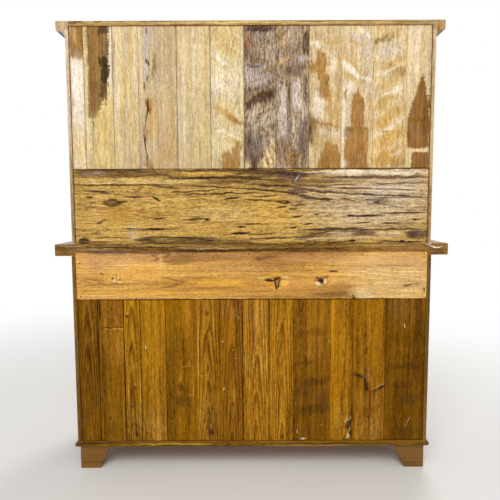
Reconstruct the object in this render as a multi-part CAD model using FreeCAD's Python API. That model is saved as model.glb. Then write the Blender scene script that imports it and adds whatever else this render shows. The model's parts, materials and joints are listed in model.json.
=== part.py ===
"""Display cupboard in two parts: a base with drawers over panelled doors, a thick worktop, and an
upper case with an open niche under glazed doors. Both backs are upright tongued and grooved boards
with one lying plank. Millimetres, +Z up, the front faces -Y, the origin is on the floor at the centre."""
import FreeCAD, Part

import os

from FreeCAD import Vector

# Overall sizes
BASE_WIDTH = 1682.0
BASE_DEPTH = 485.0
BASE_HEIGHT = 928.0
UPPER_WIDTH = 1672.0
UPPER_DEPTH = 370.0
UPPER_HEIGHT = 1005.0
FOOT_HEIGHT = 112.0

# Worktop
WORKTOP_THICKNESS = 55.0
WORKTOP_SIDE_OVERHANG = 77.0
WORKTOP_FRONT_OVERHANG = 45.0
WORKTOP_TOP_ROUND = 7.0
WORKTOP_UNDER_ROUND = 4.0

# Boards that the cases are made of
SIDE_THICKNESS = 28.0
BOTTOM_THICKNESS = 24.0
PARTITION_THICKNESS = 22.0
SHELF_THICKNESS = 22.0
UPPER_FLOOR_THICKNESS = 24.0
TOP_THICKNESS = 21.0
FRAME_THICKNESS = 22.0
STILE_WIDTH = 45.0

# Backs: planks and boards are nailed against a rebate in the sides
SIDE_BACK_EDGE = 15.0
PLANK_RECESS = 2.0
PLANK_THICKNESS = 18.0
BOARD_THICKNESS = 15.0
BACK_SIDE_GAP = 1.5
BACK_END_GAP = 1.0
BASE_PLANK_HEIGHT = 224.0
BASE_PLANK_LAP = 16.0
UPPER_PLANK_HEIGHT = 346.0
BOARD_JOINT_GAP = 0.8
TONGUE_LENGTH = 6.0
TONGUE_THICKNESS = 5.0
TONGUE_CLEARANCE = 0.4
# Widths of the boards in proportion to each other, from the +X side
UPPER_BOARD_WIDTHS = (61, 132, 116, 174, 153, 151, 147, 150, 147, 146, 151, 111)
BASE_BOARD_WIDTHS = (96, 121, 78, 121, 137, 117, 112, 124, 117, 176, 105, 156, 188)

# Feet
FOOT_INSET = 8.0
FOOT_TOP_WIDTH = 142.0
FOOT_BOTTOM_WIDTH = 93.0
FOOT_THICKNESS = 45.0

# Base moulding: a torus, a fillet and a small hollow above it
MOULDING_HEIGHT = 35.0
MOULDING_NECK = 4.0
MOULDING_TORUS_RADIUS = 11.0
MOULDING_FILLET = 3.0

# Cornice: a square fascia on the sides, a hollow under it
FASCIA_HEIGHT = 40.0
FASCIA_PROJECTION = 40.0
COVE_HEIGHT = 27.0
COVE_PROJECTION = 36.0
COVE_LIP = 4.0

# Front frames
BASE_TOP_RAIL_HEIGHT = 30.0
DRAWER_OPENING_HEIGHT = 160.0
DRAWER_RAIL_HEIGHT = 35.0
BASE_BOTTOM_RAIL_HEIGHT = 40.0
UPPER_TOP_RAIL_HEIGHT = 60.0
UPPER_BOTTOM_RAIL_HEIGHT = 40.0

# Shelves on pins
BASE_SHELF_HEIGHT = 345.0
DISPLAY_SHELF_HEIGHT = 290.0
SHELF_SETBACK = 30.0
SHELF_END_GAP = 1.0
PIN_RADIUS = 3.0
PIN_LENGTH = 22.0
PIN_DEPTH = 10.0
PIN_HOLE_CLEARANCE = 0.1
PIN_INSET = 45.0

# Doors
BAYS = ("left", "centre", "right")
HINGE_SIDE = {"left": -1, "centre": -1, "right": 1}
DOOR_THICKNESS = 21.5
DOOR_GAP = 2.5
DOOR_STILE_WIDTH = 58.0
DOOR_RAIL_HEIGHT = 62.0
JOINT_CLEARANCE = 0.1
GROOVE_WIDTH = 6.0
GROOVE_DEPTH = 10.0
GROOVE_SETBACK = 8.0
PANEL_CLEARANCE = 1.5
PANEL_BEVEL_WIDTH = 38.0
PANEL_FIELD_SETBACK = 2.0
GLASS_REBATE_WIDTH = 9.0
GLASS_REBATE_DEPTH = 12.0
GLASS_THICKNESS = 4.0
GLASS_CLEARANCE = 1.0
BEAD_CHAMFER = 4.0

# Turned knobs with a spigot
KNOB_RADIUS = 17.0
KNOB_LENGTH = 30.0
KNOB_FOOT_RADIUS = 11.0
KNOB_FOOT_LENGTH = 3.0
KNOB_NECK_RADIUS = 7.5
KNOB_SPIGOT_RADIUS = 5.0
KNOB_HEAD_START = 13.5
KNOB_WIDEST = 20.5
KNOB_SPIGOT_LENGTH = 14.0
SPIGOT_CLEARANCE = 0.1
BASE_KNOB_HEIGHT = 393.0
GLAZED_KNOB_HEIGHT = 224.0

# Butt hinges
HINGE_HEIGHT = 60.0
HINGE_BARREL_RADIUS = 4.0
HINGE_PIN_RADIUS = 2.0
HINGE_PIN_CLEARANCE = 0.05
HINGE_PIN_HEAD = 2.0
HINGE_LEAF_THICKNESS = 1.0
HINGE_LEAF_WIDTH = 18.0
HINGE_FACE_GAP = 0.5
HINGE_KNUCKLE_GAP = 0.2
HINGE_END_DISTANCE = 90.0

# Magnetic catches and their strike plates
CATCH_WIDTH = 30.0
CATCH_DEPTH = 14.0
CATCH_ABOVE = 13.0
CATCH_BELOW = 20.0
STRIKE_WIDTH = 24.0
STRIKE_HEIGHT = 14.0
STRIKE_THICKNESS = 1.5

# Drawers and what they run on
DRAWER_GAP = 2.0
DRAWER_FRONT_THICKNESS = 22.0
DRAWER_SIDE_THICKNESS = 14.0
DRAWER_SIDE_INSET = 2.0
DRAWER_SIDE_HEIGHT = 138.0
DRAWER_BACK_GAP = 12.0
DRAWER_RUN_CLEARANCE = 0.3
DRAWER_BOTTOM_THICKNESS = 8.0
DRAWER_BOTTOM_RISE = 9.0
DRAWER_GROOVE_DEPTH = 6.0
DOVETAIL_COUNT = 3
DOVETAIL_LAP = 14.0
DOVETAIL_WIDTH_SHARE = 0.6
DOVETAIL_SLOPE = 6.0
RUNNER_THICKNESS = 20.0
RUNNER_WIDTH = 30.0
GUIDE_HEIGHT = 16.0
GUIDE_CLEARANCE = 0.5
BACK_RAIL_THICKNESS = 22.0
KICKER_CLEARANCE = 2.0
KICKER_THICKNESS = 20.0

# Cutting tools reach this far past the faces they cut, and equal places agree this closely
OVERRUN = 1.0
SAME_PLACE = 0.000001

# Places that follow from the sizes
BACK = (BASE_DEPTH + WORKTOP_FRONT_OVERHANG) / 2
BASE_FRONT = BACK - BASE_DEPTH
UPPER_FRONT = BACK - UPPER_DEPTH
PLANK_FACE = BACK - PLANK_RECESS
BACK_INSIDE = PLANK_FACE - PLANK_THICKNESS
BOARD_FACE = BACK_INSIDE + BOARD_THICKNESS
BASE_FLOOR = FOOT_HEIGHT + BOTTOM_THICKNESS
WORKTOP_UNDERSIDE = FOOT_HEIGHT + BASE_HEIGHT
WORKTOP_TOP = WORKTOP_UNDERSIDE + WORKTOP_THICKNESS
BASE_PLANK_TOP = WORKTOP_UNDERSIDE + BASE_PLANK_LAP
BASE_PLANK_BOTTOM = BASE_PLANK_TOP - BASE_PLANK_HEIGHT
UPPER_PLANK_TOP = WORKTOP_TOP + UPPER_PLANK_HEIGHT
TOP = WORKTOP_TOP + UPPER_HEIGHT
TOP_UNDERSIDE = TOP - TOP_THICKNESS
CORNICE_SEAT = TOP - FASCIA_HEIGHT
UPPER_FLOOR_TOP = UPPER_PLANK_TOP + UPPER_FLOOR_THICKNESS / 2
UPPER_FLOOR_UNDERSIDE = UPPER_FLOOR_TOP - UPPER_FLOOR_THICKNESS
DRAWER_OPENING_TOP = WORKTOP_UNDERSIDE - BASE_TOP_RAIL_HEIGHT
DRAWER_OPENING_BOTTOM = DRAWER_OPENING_TOP - DRAWER_OPENING_HEIGHT
BASE_DOOR_TOP = DRAWER_OPENING_BOTTOM - DRAWER_RAIL_HEIGHT
BASE_DOOR_BOTTOM = BASE_FLOOR + BASE_BOTTOM_RAIL_HEIGHT
UPPER_DOOR_TOP = CORNICE_SEAT - UPPER_TOP_RAIL_HEIGHT
UPPER_RAIL_BOTTOM = UPPER_PLANK_TOP - UPPER_BOTTOM_RAIL_HEIGHT / 2
UPPER_DOOR_BOTTOM = UPPER_RAIL_BOTTOM + UPPER_BOTTOM_RAIL_HEIGHT
BASE_SHELF_UNDERSIDE = BASE_FLOOR + BASE_SHELF_HEIGHT
DISPLAY_SHELF_UNDERSIDE = UPPER_FLOOR_TOP + DISPLAY_SHELF_HEIGHT


# Shapes

def block(x0, x1, y0, y1, z0, z1):
    """Box between two X, two Y and two Z values, each pair in either order."""
    low = Vector(min(x0, x1), min(y0, y1), min(z0, z1))
    return Part.makeBox(abs(x1 - x0), abs(y1 - y0), abs(z1 - z0), low)


def prism(points, along):
    """Solid swept from a flat outline of corner points along a vector."""
    outline = Part.makePolygon([*points, points[0]])
    return Part.Face(outline).extrude(along)


def fused(first, *others):
    """One solid from touching solids, with the seams between flat faces removed."""
    return first.fuse(list(others)).removeSplitter()


def bend(start, corner, end):
    """Curve that leaves start toward the corner point and reaches end from it."""
    curve = Part.BezierCurve()
    curve.setPoles([start, corner, end])
    return curve


def export(node, solids):
    """Writes one or more solids as the node's STEP file."""
    Part.makeCompound(list(solids)).exportStep(f"parts/{node}.step")


# Layout of the three bays

def bay_openings(case_width):
    """X spans between the stiles of a face frame with four stiles."""
    clear = (case_width - (len(BAYS) + 1) * STILE_WIDTH) / len(BAYS)
    pitch = clear + STILE_WIDTH
    start = -case_width / 2 + STILE_WIDTH
    return [(start + i * pitch, start + i * pitch + clear) for i in range(len(BAYS))]


def partition_spans(case_width):
    """X spans of the two partitions, each centred behind an inner stile."""
    openings = bay_openings(case_width)
    centres = [(left[1] + right[0]) / 2 for left, right in zip(openings, openings[1:])]
    return [(c - PARTITION_THICKNESS / 2, c + PARTITION_THICKNESS / 2) for c in centres]


def bay_insides(case_width):
    """X spans between the inner faces of the sides and the partitions."""
    partitions = partition_spans(case_width)
    inner = case_width / 2 - SIDE_THICKNESS
    lows = [-inner, *[p[1] for p in partitions]]
    highs = [*[p[0] for p in partitions], inner]
    return list(zip(lows, highs))


# Mouldings that run round the front and both sides, mitred at the front corners

def mitred_run(profile_face, case_width, front, inner, outer, z0, z1):
    """Front, -X and +X lengths of a moulding. profile_face(origin, outward) gives the section at a
    point of the case's face, and inner and outer are its reach inside and outside that face."""
    half = case_width / 2
    margin = outer + OVERRUN
    front_bar = profile_face(Vector(-half - margin, front, 0), Vector(0, -1, 0))
    front_bar = front_bar.extrude(Vector(2 * (half + margin), 0, 0))
    corners = [(-half - outer, front - outer), (half + outer, front - outer),
               (half - inner, front + inner), (-half + inner, front + inner)]
    footprint = prism([Vector(x, y, z0) for x, y in corners], Vector(0, 0, z1 - z0))
    runs = [front_bar.common(footprint)]
    for side in (-1, 1):
        side_bar = profile_face(Vector(side * half, front - margin, 0), Vector(side, 0, 0))
        side_bar = side_bar.extrude(Vector(0, BACK - front + margin, 0))
        corners = [(side * (half - inner), front + inner), (side * (half + outer), front - outer),
                   (side * (half + outer), BACK), (side * (half - inner), BACK)]
        footprint = prism([Vector(x, y, z0) for x, y in corners], Vector(0, 0, z1 - z0))
        runs.append(side_bar.common(footprint))
    return [run.Solids[0] for run in runs]


def base_moulding_face(origin, outward):
    """Section of the base moulding: torus below, fillet, hollow above."""
    def at(out, up):
        return origin + outward * out + Vector(0, 0, FOOT_HEIGHT + up)

    torus_top = 2 * MOULDING_TORUS_RADIUS
    fillet_top = torus_top + MOULDING_FILLET
    reach = MOULDING_NECK + MOULDING_TORUS_RADIUS
    edges = [
        Part.LineSegment(at(0, 0), at(MOULDING_NECK, 0)),
        Part.Arc(at(MOULDING_NECK, 0), at(reach, MOULDING_TORUS_RADIUS), at(MOULDING_NECK, torus_top)),
        Part.LineSegment(at(MOULDING_NECK, torus_top), at(MOULDING_NECK, fillet_top)),
        bend(at(MOULDING_NECK, fillet_top), at(0, fillet_top), at(0, MOULDING_HEIGHT)),
        Part.LineSegment(at(0, MOULDING_HEIGHT), at(0, 0)),
    ]
    return Part.Face(Part.Wire([edge.toShape() for edge in edges]))


def fascia_face(origin, outward):
    """Square section of the cornice fascia, which sits on the side's back edge width."""
    corners = [(-SIDE_BACK_EDGE, CORNICE_SEAT), (FASCIA_PROJECTION, CORNICE_SEAT),
               (FASCIA_PROJECTION, TOP), (-SIDE_BACK_EDGE, TOP)]
    points = [origin + outward * out + Vector(0, 0, up) for out, up in corners]
    return Part.Face(Part.makePolygon([*points, points[0]]))


def cove_face(origin, outward):
    """Section of the hollow moulding in the corner under the fascia."""
    def at(out, down):
        return origin + outward * out + Vector(0, 0, CORNICE_SEAT - down)

    edges = [
        Part.LineSegment(at(0, 0), at(COVE_PROJECTION, 0)),
        Part.LineSegment(at(COVE_PROJECTION, 0), at(COVE_PROJECTION, COVE_LIP)),
        bend(at(COVE_PROJECTION, COVE_LIP), at(COVE_LIP, COVE_LIP), at(COVE_LIP, COVE_HEIGHT)),
        Part.LineSegment(at(COVE_LIP, COVE_HEIGHT), at(0, COVE_HEIGHT)),
        Part.LineSegment(at(0, COVE_HEIGHT), at(0, 0)),
    ]
    return Part.Face(Part.Wire([edge.toShape() for edge in edges]))


# Feet and base case

def bracket_feet():
    """Each foot is a board across the case and a board along it, both upright outside and slanted
    inside. The board along the case butts against the board across it."""
    solids = []
    taper = FOOT_TOP_WIDTH - FOOT_BOTTOM_WIDTH
    for side in (-1, 1):
        corner_x = side * (BASE_WIDTH / 2 - FOOT_INSET)
        for end, face_y in ((-1, BASE_FRONT + FOOT_INSET), (1, BACK - FOOT_INSET)):
            across = [(0, 0), (FOOT_BOTTOM_WIDTH, 0), (FOOT_TOP_WIDTH, FOOT_HEIGHT), (0, FOOT_HEIGHT)]
            points = [Vector(corner_x - side * run, face_y, up) for run, up in across]
            solids.append(prism(points, Vector(0, -end * FOOT_THICKNESS, 0)))
            joint_y = face_y - end * FOOT_THICKNESS
            top_run = FOOT_TOP_WIDTH - FOOT_THICKNESS
            along = [(0, 0), (top_run - taper, 0), (top_run, FOOT_HEIGHT), (0, FOOT_HEIGHT)]
            points = [Vector(corner_x, joint_y - end * run, up) for run, up in along]
            solids.append(prism(points, Vector(-side * FOOT_THICKNESS, 0, 0)))
    return solids


def base_bottom():
    """Floor of the base, full width under the sides."""
    half = BASE_WIDTH / 2
    return [block(-half, half, BASE_FRONT, BACK, FOOT_HEIGHT, BASE_FLOOR)]


def rebated_side(side, case_width, front, z0, z1):
    """Side board with the back rebate along its inner edge."""
    outer = side * case_width / 2
    inner = outer - side * SIDE_THICKNESS
    rebate = outer - side * SIDE_BACK_EDGE
    corners = [(outer, front), (outer, BACK), (rebate, BACK), (rebate, BACK_INSIDE),
               (inner, BACK_INSIDE), (inner, front)]
    return prism([Vector(x, y, z0) for x, y in corners], Vector(0, 0, z1 - z0))


def pin_places(insides, front):
    """(x of the wall, direction into the bay, y) of every shelf pin in a case."""
    ys = (front + FRAME_THICKNESS + SHELF_SETBACK + PIN_INSET, BACK_INSIDE - PIN_INSET)
    walls = [(x, d) for x0, x1 in insides for x, d in ((x0, 1), (x1, -1))]
    return [(x, d, y) for x, d in walls for y in ys]


def pin_cylinder(place, z_top, radius, into_wall, into_bay):
    """Level cylinder through a wall face, its top line at z_top for the pin's own radius."""
    x, direction, y = place
    start = Vector(x - direction * into_wall, y, z_top - PIN_RADIUS)
    return Part.makeCylinder(radius, into_wall + into_bay, start, Vector(direction, 0, 0))


def drilled(board, places, z_top):
    """The board with a blind hole for each shelf pin that reaches into it."""
    radius = PIN_RADIUS + PIN_HOLE_CLEARANCE
    depth = PIN_DEPTH + PIN_HOLE_CLEARANCE
    box = board.BoundBox
    near = [p for p in places if box.XMin - OVERRUN < p[0] < box.XMax + OVERRUN]
    holes = [pin_cylinder(p, z_top, radius, depth, OVERRUN) for p in near]
    return board.cut(holes).Solids[0]


def shelf_pins(places, z_top):
    return [pin_cylinder(p, z_top, PIN_RADIUS, PIN_DEPTH, PIN_LENGTH - PIN_DEPTH) for p in places]


def base_sides():
    places = pin_places(bay_insides(BASE_WIDTH), BASE_FRONT)
    front = BASE_FRONT + FRAME_THICKNESS
    sides = [rebated_side(s, BASE_WIDTH, front, BASE_FLOOR, WORKTOP_UNDERSIDE) for s in (-1, 1)]
    return [drilled(side, places, BASE_SHELF_UNDERSIDE) for side in sides]


def partitions(case_width, front, z0, z1, shelf_z):
    places = pin_places(bay_insides(case_width), front)
    boards = [block(x0, x1, front + FRAME_THICKNESS, BACK_INSIDE, z0, z1)
              for x0, x1 in partition_spans(case_width)]
    return [drilled(board, places, shelf_z) for board in boards]


def shelves(case_width, front, underside):
    """One loose shelf in each bay, set back from the doors."""
    y0 = front + FRAME_THICKNESS + SHELF_SETBACK
    return [block(x0 + SHELF_END_GAP, x1 - SHELF_END_GAP, y0, BACK_INSIDE - SHELF_END_GAP,
                  underside, underside + SHELF_THICKNESS)
            for x0, x1 in bay_insides(case_width)]


def base_face_frame():
    """Four stiles from the floor board to the worktop, with three rails between each pair."""
    y0, y1 = BASE_FRONT, BASE_FRONT + FRAME_THICKNESS
    openings = bay_openings(BASE_WIDTH)
    lefts = [x0 - STILE_WIDTH for x0, _ in openings] + [openings[-1][1]]
    solids = [block(x, x + STILE_WIDTH, y0, y1, BASE_FLOOR, WORKTOP_UNDERSIDE) for x in lefts]
    rails = [(BASE_FLOOR, BASE_DOOR_BOTTOM), (BASE_DOOR_TOP, DRAWER_OPENING_BOTTOM),
             (DRAWER_OPENING_TOP, WORKTOP_UNDERSIDE)]
    solids += [block(x0, x1, y0, y1, z0, z1) for x0, x1 in openings for z0, z1 in rails]
    return solids


def worktop():
    """Thick board with rounded front and end edges, rebated below its back edge for the plank."""
    half = BASE_WIDTH / 2 + WORKTOP_SIDE_OVERHANG
    front = BASE_FRONT - WORKTOP_FRONT_OVERHANG
    board = block(-half, half, front, BACK, WORKTOP_UNDERSIDE, WORKTOP_TOP)
    top_edges, under_edges = [], []
    for edge in board.Edges:
        middle = edge.CenterOfMass
        level = abs(edge.Vertexes[0].Z - edge.Vertexes[-1].Z) < SAME_PLACE
        if level and middle.y < BACK - SAME_PLACE:
            (top_edges if middle.z > WORKTOP_UNDERSIDE + SAME_PLACE else under_edges).append(edge)
    board = board.makeFillet(WORKTOP_TOP_ROUND, top_edges)
    under = [edge for edge in board.Edges
             if any(edge.CenterOfMass.distanceToPoint(old.CenterOfMass) < WORKTOP_TOP_ROUND
                    for old in under_edges)]
    board = board.makeFillet(WORKTOP_UNDER_ROUND, under)
    reach = BASE_WIDTH / 2 - SIDE_BACK_EDGE
    lap = block(-reach, reach, BACK_INSIDE, BACK, WORKTOP_UNDERSIDE, BASE_PLANK_TOP)
    return [board.cut(lap).Solids[0]]


# Backs

def back_plank(case_width, z0, z1):
    """One lying plank between the rebates of the sides."""
    half = case_width / 2 - SIDE_BACK_EDGE - BACK_SIDE_GAP
    return [block(-half, half, BACK_INSIDE, PLANK_FACE, z0, z1)]


def back_boards(case_width, nominal_widths, z0, z1):
    """Upright boards with a groove on the +X edge and a tongue on the -X edge, which together fill
    the width between the rebates. The outer edges of the first and last board are plain."""
    half = case_width / 2 - SIDE_BACK_EDGE - BACK_SIDE_GAP
    scale = 2 * half / sum(nominal_widths)
    tongue_low = BACK_INSIDE + (BOARD_THICKNESS - TONGUE_THICKNESS) / 2
    tongue_high = tongue_low + TONGUE_THICKNESS
    play = TONGUE_CLEARANCE
    last = len(nominal_widths) - 1
    right = half
    solids = []
    for i, nominal in enumerate(nominal_widths):
        left = right - nominal * scale
        x1 = right if i == 0 else right - BOARD_JOINT_GAP / 2
        x0 = left if i == last else left + BOARD_JOINT_GAP / 2
        outline = [(x0, BACK_INSIDE), (x1, BACK_INSIDE)]
        if i > 0:
            depth = x1 - TONGUE_LENGTH - play
            outline += [(x1, tongue_low - play / 2), (depth, tongue_low - play / 2),
                        (depth, tongue_high + play / 2), (x1, tongue_high + play / 2)]
        outline += [(x1, BOARD_FACE), (x0, BOARD_FACE)]
        if i < last:
            tip = x0 - TONGUE_LENGTH
            outline += [(x0, tongue_high), (tip, tongue_high), (tip, tongue_low), (x0, tongue_low)]
        solids.append(prism([Vector(x, y, z0) for x, y in outline], Vector(0, 0, z1 - z0)))
        right = left
    return solids


# Drawer supports

def drawer_runners():
    """For each bay two runners with a guide lip, two kickers above the drawer sides and a back rail
    that the plank and the boards are nailed to."""
    solids = []
    y0 = BASE_FRONT + FRAME_THICKNESS
    rail_front = BACK_INSIDE - BACK_RAIL_THICKNESS
    kicker_z = DRAWER_OPENING_BOTTOM + DRAWER_RUN_CLEARANCE + DRAWER_SIDE_HEIGHT + KICKER_CLEARANCE
    rail_bottom = BASE_PLANK_BOTTOM - (DRAWER_OPENING_BOTTOM - BASE_PLANK_BOTTOM)
    for (in0, in1), (open0, open1) in zip(bay_insides(BASE_WIDTH), bay_openings(BASE_WIDTH)):
        for wall, opening, d in ((in0, open0, 1), (in1, open1, -1)):
            drawer_side = opening + d * (DRAWER_GAP + DRAWER_SIDE_INSET)
            lip = drawer_side - d * GUIDE_CLEARANCE
            inner = drawer_side + d * RUNNER_WIDTH
            low = DRAWER_OPENING_BOTTOM - RUNNER_THICKNESS
            outline = [(wall, low), (inner, low), (inner, DRAWER_OPENING_BOTTOM),
                       (lip, DRAWER_OPENING_BOTTOM), (lip, DRAWER_OPENING_BOTTOM + GUIDE_HEIGHT),
                       (wall, DRAWER_OPENING_BOTTOM + GUIDE_HEIGHT)]
            solids.append(prism([Vector(x, y0, z) for x, z in outline],
                                Vector(0, rail_front - y0, 0)))
            solids.append(block(wall, inner, y0, BACK_INSIDE, kicker_z, kicker_z + KICKER_THICKNESS))
        solids.append(block(in0, in1, rail_front, BACK_INSIDE, rail_bottom, DRAWER_OPENING_BOTTOM))
    return solids


# Upper case

def upper_sides():
    """Sides from the worktop to the top board, stepped outside for the cornice fascia."""
    places = pin_places(bay_insides(UPPER_WIDTH), UPPER_FRONT)
    front = UPPER_FRONT + FRAME_THICKNESS
    solids = []
    for s in (-1, 1):
        side = rebated_side(s, UPPER_WIDTH, front, WORKTOP_TOP, TOP_UNDERSIDE)
        outer = s * UPPER_WIDTH / 2
        step = block(outer, outer - s * SIDE_BACK_EDGE, front, BACK, CORNICE_SEAT, TOP_UNDERSIDE)
        solids.append(drilled(side.cut(step), places, DISPLAY_SHELF_UNDERSIDE))
    return solids


def upper_floor():
    inner = UPPER_WIDTH / 2 - SIDE_THICKNESS
    return [block(-inner, inner, UPPER_FRONT + FRAME_THICKNESS, BACK_INSIDE,
                  UPPER_FLOOR_UNDERSIDE, UPPER_FLOOR_TOP)]


def upper_face_frame():
    """Outer stiles stand on the worktop; two rails run between them, with inner stiles between."""
    y0, y1 = UPPER_FRONT, UPPER_FRONT + FRAME_THICKNESS
    openings = bay_openings(UPPER_WIDTH)
    low, high = openings[0][0], openings[-1][1]
    solids = [block(low - STILE_WIDTH, low, y0, y1, WORKTOP_TOP, CORNICE_SEAT),
              block(high, high + STILE_WIDTH, y0, y1, WORKTOP_TOP, CORNICE_SEAT),
              block(low, high, y0, y1, UPPER_RAIL_BOTTOM, UPPER_DOOR_BOTTOM),
              block(low, high, y0, y1, UPPER_DOOR_TOP, CORNICE_SEAT)]
    solids += [block(x1, x1 + STILE_WIDTH, y0, y1, UPPER_DOOR_BOTTOM, UPPER_DOOR_TOP)
               for _, x1 in openings[:-1]]
    return solids


def upper_top():
    """Top board between the fascia lengths, resting on the sides and the partitions."""
    half = UPPER_WIDTH / 2 - SIDE_BACK_EDGE
    return [block(-half, half, UPPER_FRONT + SIDE_BACK_EDGE, BACK, TOP_UNDERSIDE, TOP)]


def cornice():
    fascia = mitred_run(fascia_face, UPPER_WIDTH, UPPER_FRONT, SIDE_BACK_EDGE, FASCIA_PROJECTION,
                        CORNICE_SEAT, TOP)
    cove = mitred_run(cove_face, UPPER_WIDTH, UPPER_FRONT, 0, COVE_PROJECTION,
                      CORNICE_SEAT - COVE_HEIGHT, CORNICE_SEAT)
    return fascia + cove


# Hardware

def knob(x, front, z):
    """Turned knob: spigot in the wood, foot, waisted neck and a domed head."""
    def at(radius, out):
        return Vector(x + radius, front - out, z)

    edges = [
        Part.LineSegment(at(0, -KNOB_SPIGOT_LENGTH), at(KNOB_SPIGOT_RADIUS, -KNOB_SPIGOT_LENGTH)),
        Part.LineSegment(at(KNOB_SPIGOT_RADIUS, -KNOB_SPIGOT_LENGTH), at(KNOB_SPIGOT_RADIUS, 0)),
        Part.LineSegment(at(KNOB_SPIGOT_RADIUS, 0), at(KNOB_FOOT_RADIUS, 0)),
        Part.LineSegment(at(KNOB_FOOT_RADIUS, 0), at(KNOB_FOOT_RADIUS, KNOB_FOOT_LENGTH)),
        Part.Arc(at(KNOB_FOOT_RADIUS, KNOB_FOOT_LENGTH),
                 at(KNOB_NECK_RADIUS, (KNOB_FOOT_LENGTH + KNOB_HEAD_START) / 2),
                 at(KNOB_FOOT_RADIUS, KNOB_HEAD_START)),
        bend(at(KNOB_FOOT_RADIUS, KNOB_HEAD_START), at(KNOB_RADIUS, KNOB_HEAD_START), at(KNOB_RADIUS, KNOB_WIDEST)),
        bend(at(KNOB_RADIUS, KNOB_WIDEST), at(KNOB_RADIUS, KNOB_LENGTH), at(0, KNOB_LENGTH)),
        Part.LineSegment(at(0, KNOB_LENGTH), at(0, -KNOB_SPIGOT_LENGTH)),
    ]
    section = Part.Face(Part.Wire([edge.toShape() for edge in edges]))
    return section.revolve(Vector(x, front, z), Vector(0, 1, 0), 360)


def knob_hole(x, front, z):
    """Blind hole for a knob's spigot."""
    return Part.makeCylinder(KNOB_SPIGOT_RADIUS + SPIGOT_CLEARANCE,
                             KNOB_SPIGOT_LENGTH + SPIGOT_CLEARANCE,
                             Vector(x, front, z), Vector(0, 1, 0))


def hinge_axis(door_edge, side, front):
    """Point of the hinge line in plan: in the middle of the gap and in front of the faces."""
    return Vector(door_edge + side * DOOR_GAP / 2, front - HINGE_BARREL_RADIUS - HINGE_FACE_GAP, 0)


def hinge_leaf(axis, toward, front, z_mid, knuckles):
    """Leaf on the face of the gap that lies toward the given X direction, with its own knuckles
    out of three."""
    third = HINGE_HEIGHT / 3
    low = z_mid - HINGE_HEIGHT / 2
    face = axis.x + toward * DOOR_GAP / 2
    inner = face - toward * HINGE_LEAF_THICKNESS
    plate_front = axis.y + HINGE_BARREL_RADIUS + HINGE_KNUCKLE_GAP
    leaf = block(face, inner, plate_front, front + HINGE_LEAF_WIDTH, low, low + HINGE_HEIGHT)
    pieces = []
    for i in knuckles:
        z0 = low + i * third + (HINGE_KNUCKLE_GAP if i > 0 else 0)
        z1 = low + (i + 1) * third - (HINGE_KNUCKLE_GAP if i < 2 else 0)
        pieces.append(block(face, inner, axis.y, plate_front, z0, z1))
        pieces.append(Part.makeCylinder(HINGE_BARREL_RADIUS, z1 - z0, Vector(axis.x, axis.y, z0)))
    bore = Part.makeCylinder(HINGE_PIN_RADIUS + HINGE_PIN_CLEARANCE, HINGE_HEIGHT,
                             Vector(axis.x, axis.y, low))
    return fused(leaf, *pieces).cut(bore).Solids[0]


def hinge_pin(axis, z_mid):
    """Pin through the three knuckles with a flat head that rests on the top knuckle."""
    low = z_mid - HINGE_HEIGHT / 2
    shank = Part.makeCylinder(HINGE_PIN_RADIUS, HINGE_HEIGHT, Vector(axis.x, axis.y, low))
    head = Part.makeCylinder(HINGE_BARREL_RADIUS, HINGE_PIN_HEAD,
                             Vector(axis.x, axis.y, low + HINGE_HEIGHT))
    return fused(shank, head)


def hinge_heights(z0, z1):
    return (z0 + HINGE_END_DISTANCE, z1 - HINGE_END_DISTANCE)


# Doors

class Door:
    """Place of one inset door: its outline in the opening, its hinge edge and its free edge."""

    def __init__(self, bay, opening, front, z0, z1, knob_height):
        self.side = HINGE_SIDE[bay]
        self.x0, self.x1 = opening[0] + DOOR_GAP, opening[1] - DOOR_GAP
        self.z0, self.z1 = z0 + DOOR_GAP, z1 - DOOR_GAP
        self.front, self.back = front, front + DOOR_THICKNESS
        self.hinge_edge = self.x0 if self.side < 0 else self.x1
        self.free_edge = self.x1 if self.side < 0 else self.x0
        self.axis = hinge_axis(self.hinge_edge, self.side, front)
        self.knob_x = self.free_edge + self.side * DOOR_STILE_WIDTH / 2
        self.knob_z = self.z0 + knob_height

    def stile_spans(self):
        return ((self.x0, self.x0 + DOOR_STILE_WIDTH), (self.x1 - DOOR_STILE_WIDTH, self.x1))

    def rail_spans(self):
        return ((self.z0, self.z0 + DOOR_RAIL_HEIGHT, 1), (self.z1 - DOOR_RAIL_HEIGHT, self.z1, -1))

    def strike(self):
        """Plate let into the back of the free stile, near its top."""
        top = self.z1 - DOOR_GAP
        return block(self.knob_x - STRIKE_WIDTH / 2, self.knob_x + STRIKE_WIDTH / 2,
                     self.back - STRIKE_THICKNESS, self.back, top - STRIKE_HEIGHT, top)

    def catch(self):
        """Magnetic catch on the back of the rail above, hanging down behind the strike."""
        y0 = self.front + FRAME_THICKNESS
        rail = self.z1 + DOOR_GAP
        return block(self.knob_x - CATCH_WIDTH / 2, self.knob_x + CATCH_WIDTH / 2,
                     y0, y0 + CATCH_DEPTH, rail - CATCH_BELOW, rail + CATCH_ABOVE)

    def hardware(self):
        """Door leaves of both hinges and the strike plate."""
        leaves = [hinge_leaf(self.axis, -self.side, self.front, z, (1,))
                  for z in hinge_heights(self.z0, self.z1)]
        return [*leaves, self.strike()]

    def frame_leaves(self):
        return [hinge_leaf(self.axis, self.side, self.front, z, (0, 2))
                for z in hinge_heights(self.z0, self.z1)]

    def pins(self):
        return [hinge_pin(self.axis, z) for z in hinge_heights(self.z0, self.z1)]

    def fitted(self, stile):
        """A stile with the knob hole and the strike recess where it is the free one."""
        cuts = [knob_hole(self.knob_x, self.front, self.knob_z), self.strike()]
        return stile.cut(cuts).Solids[0]


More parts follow.
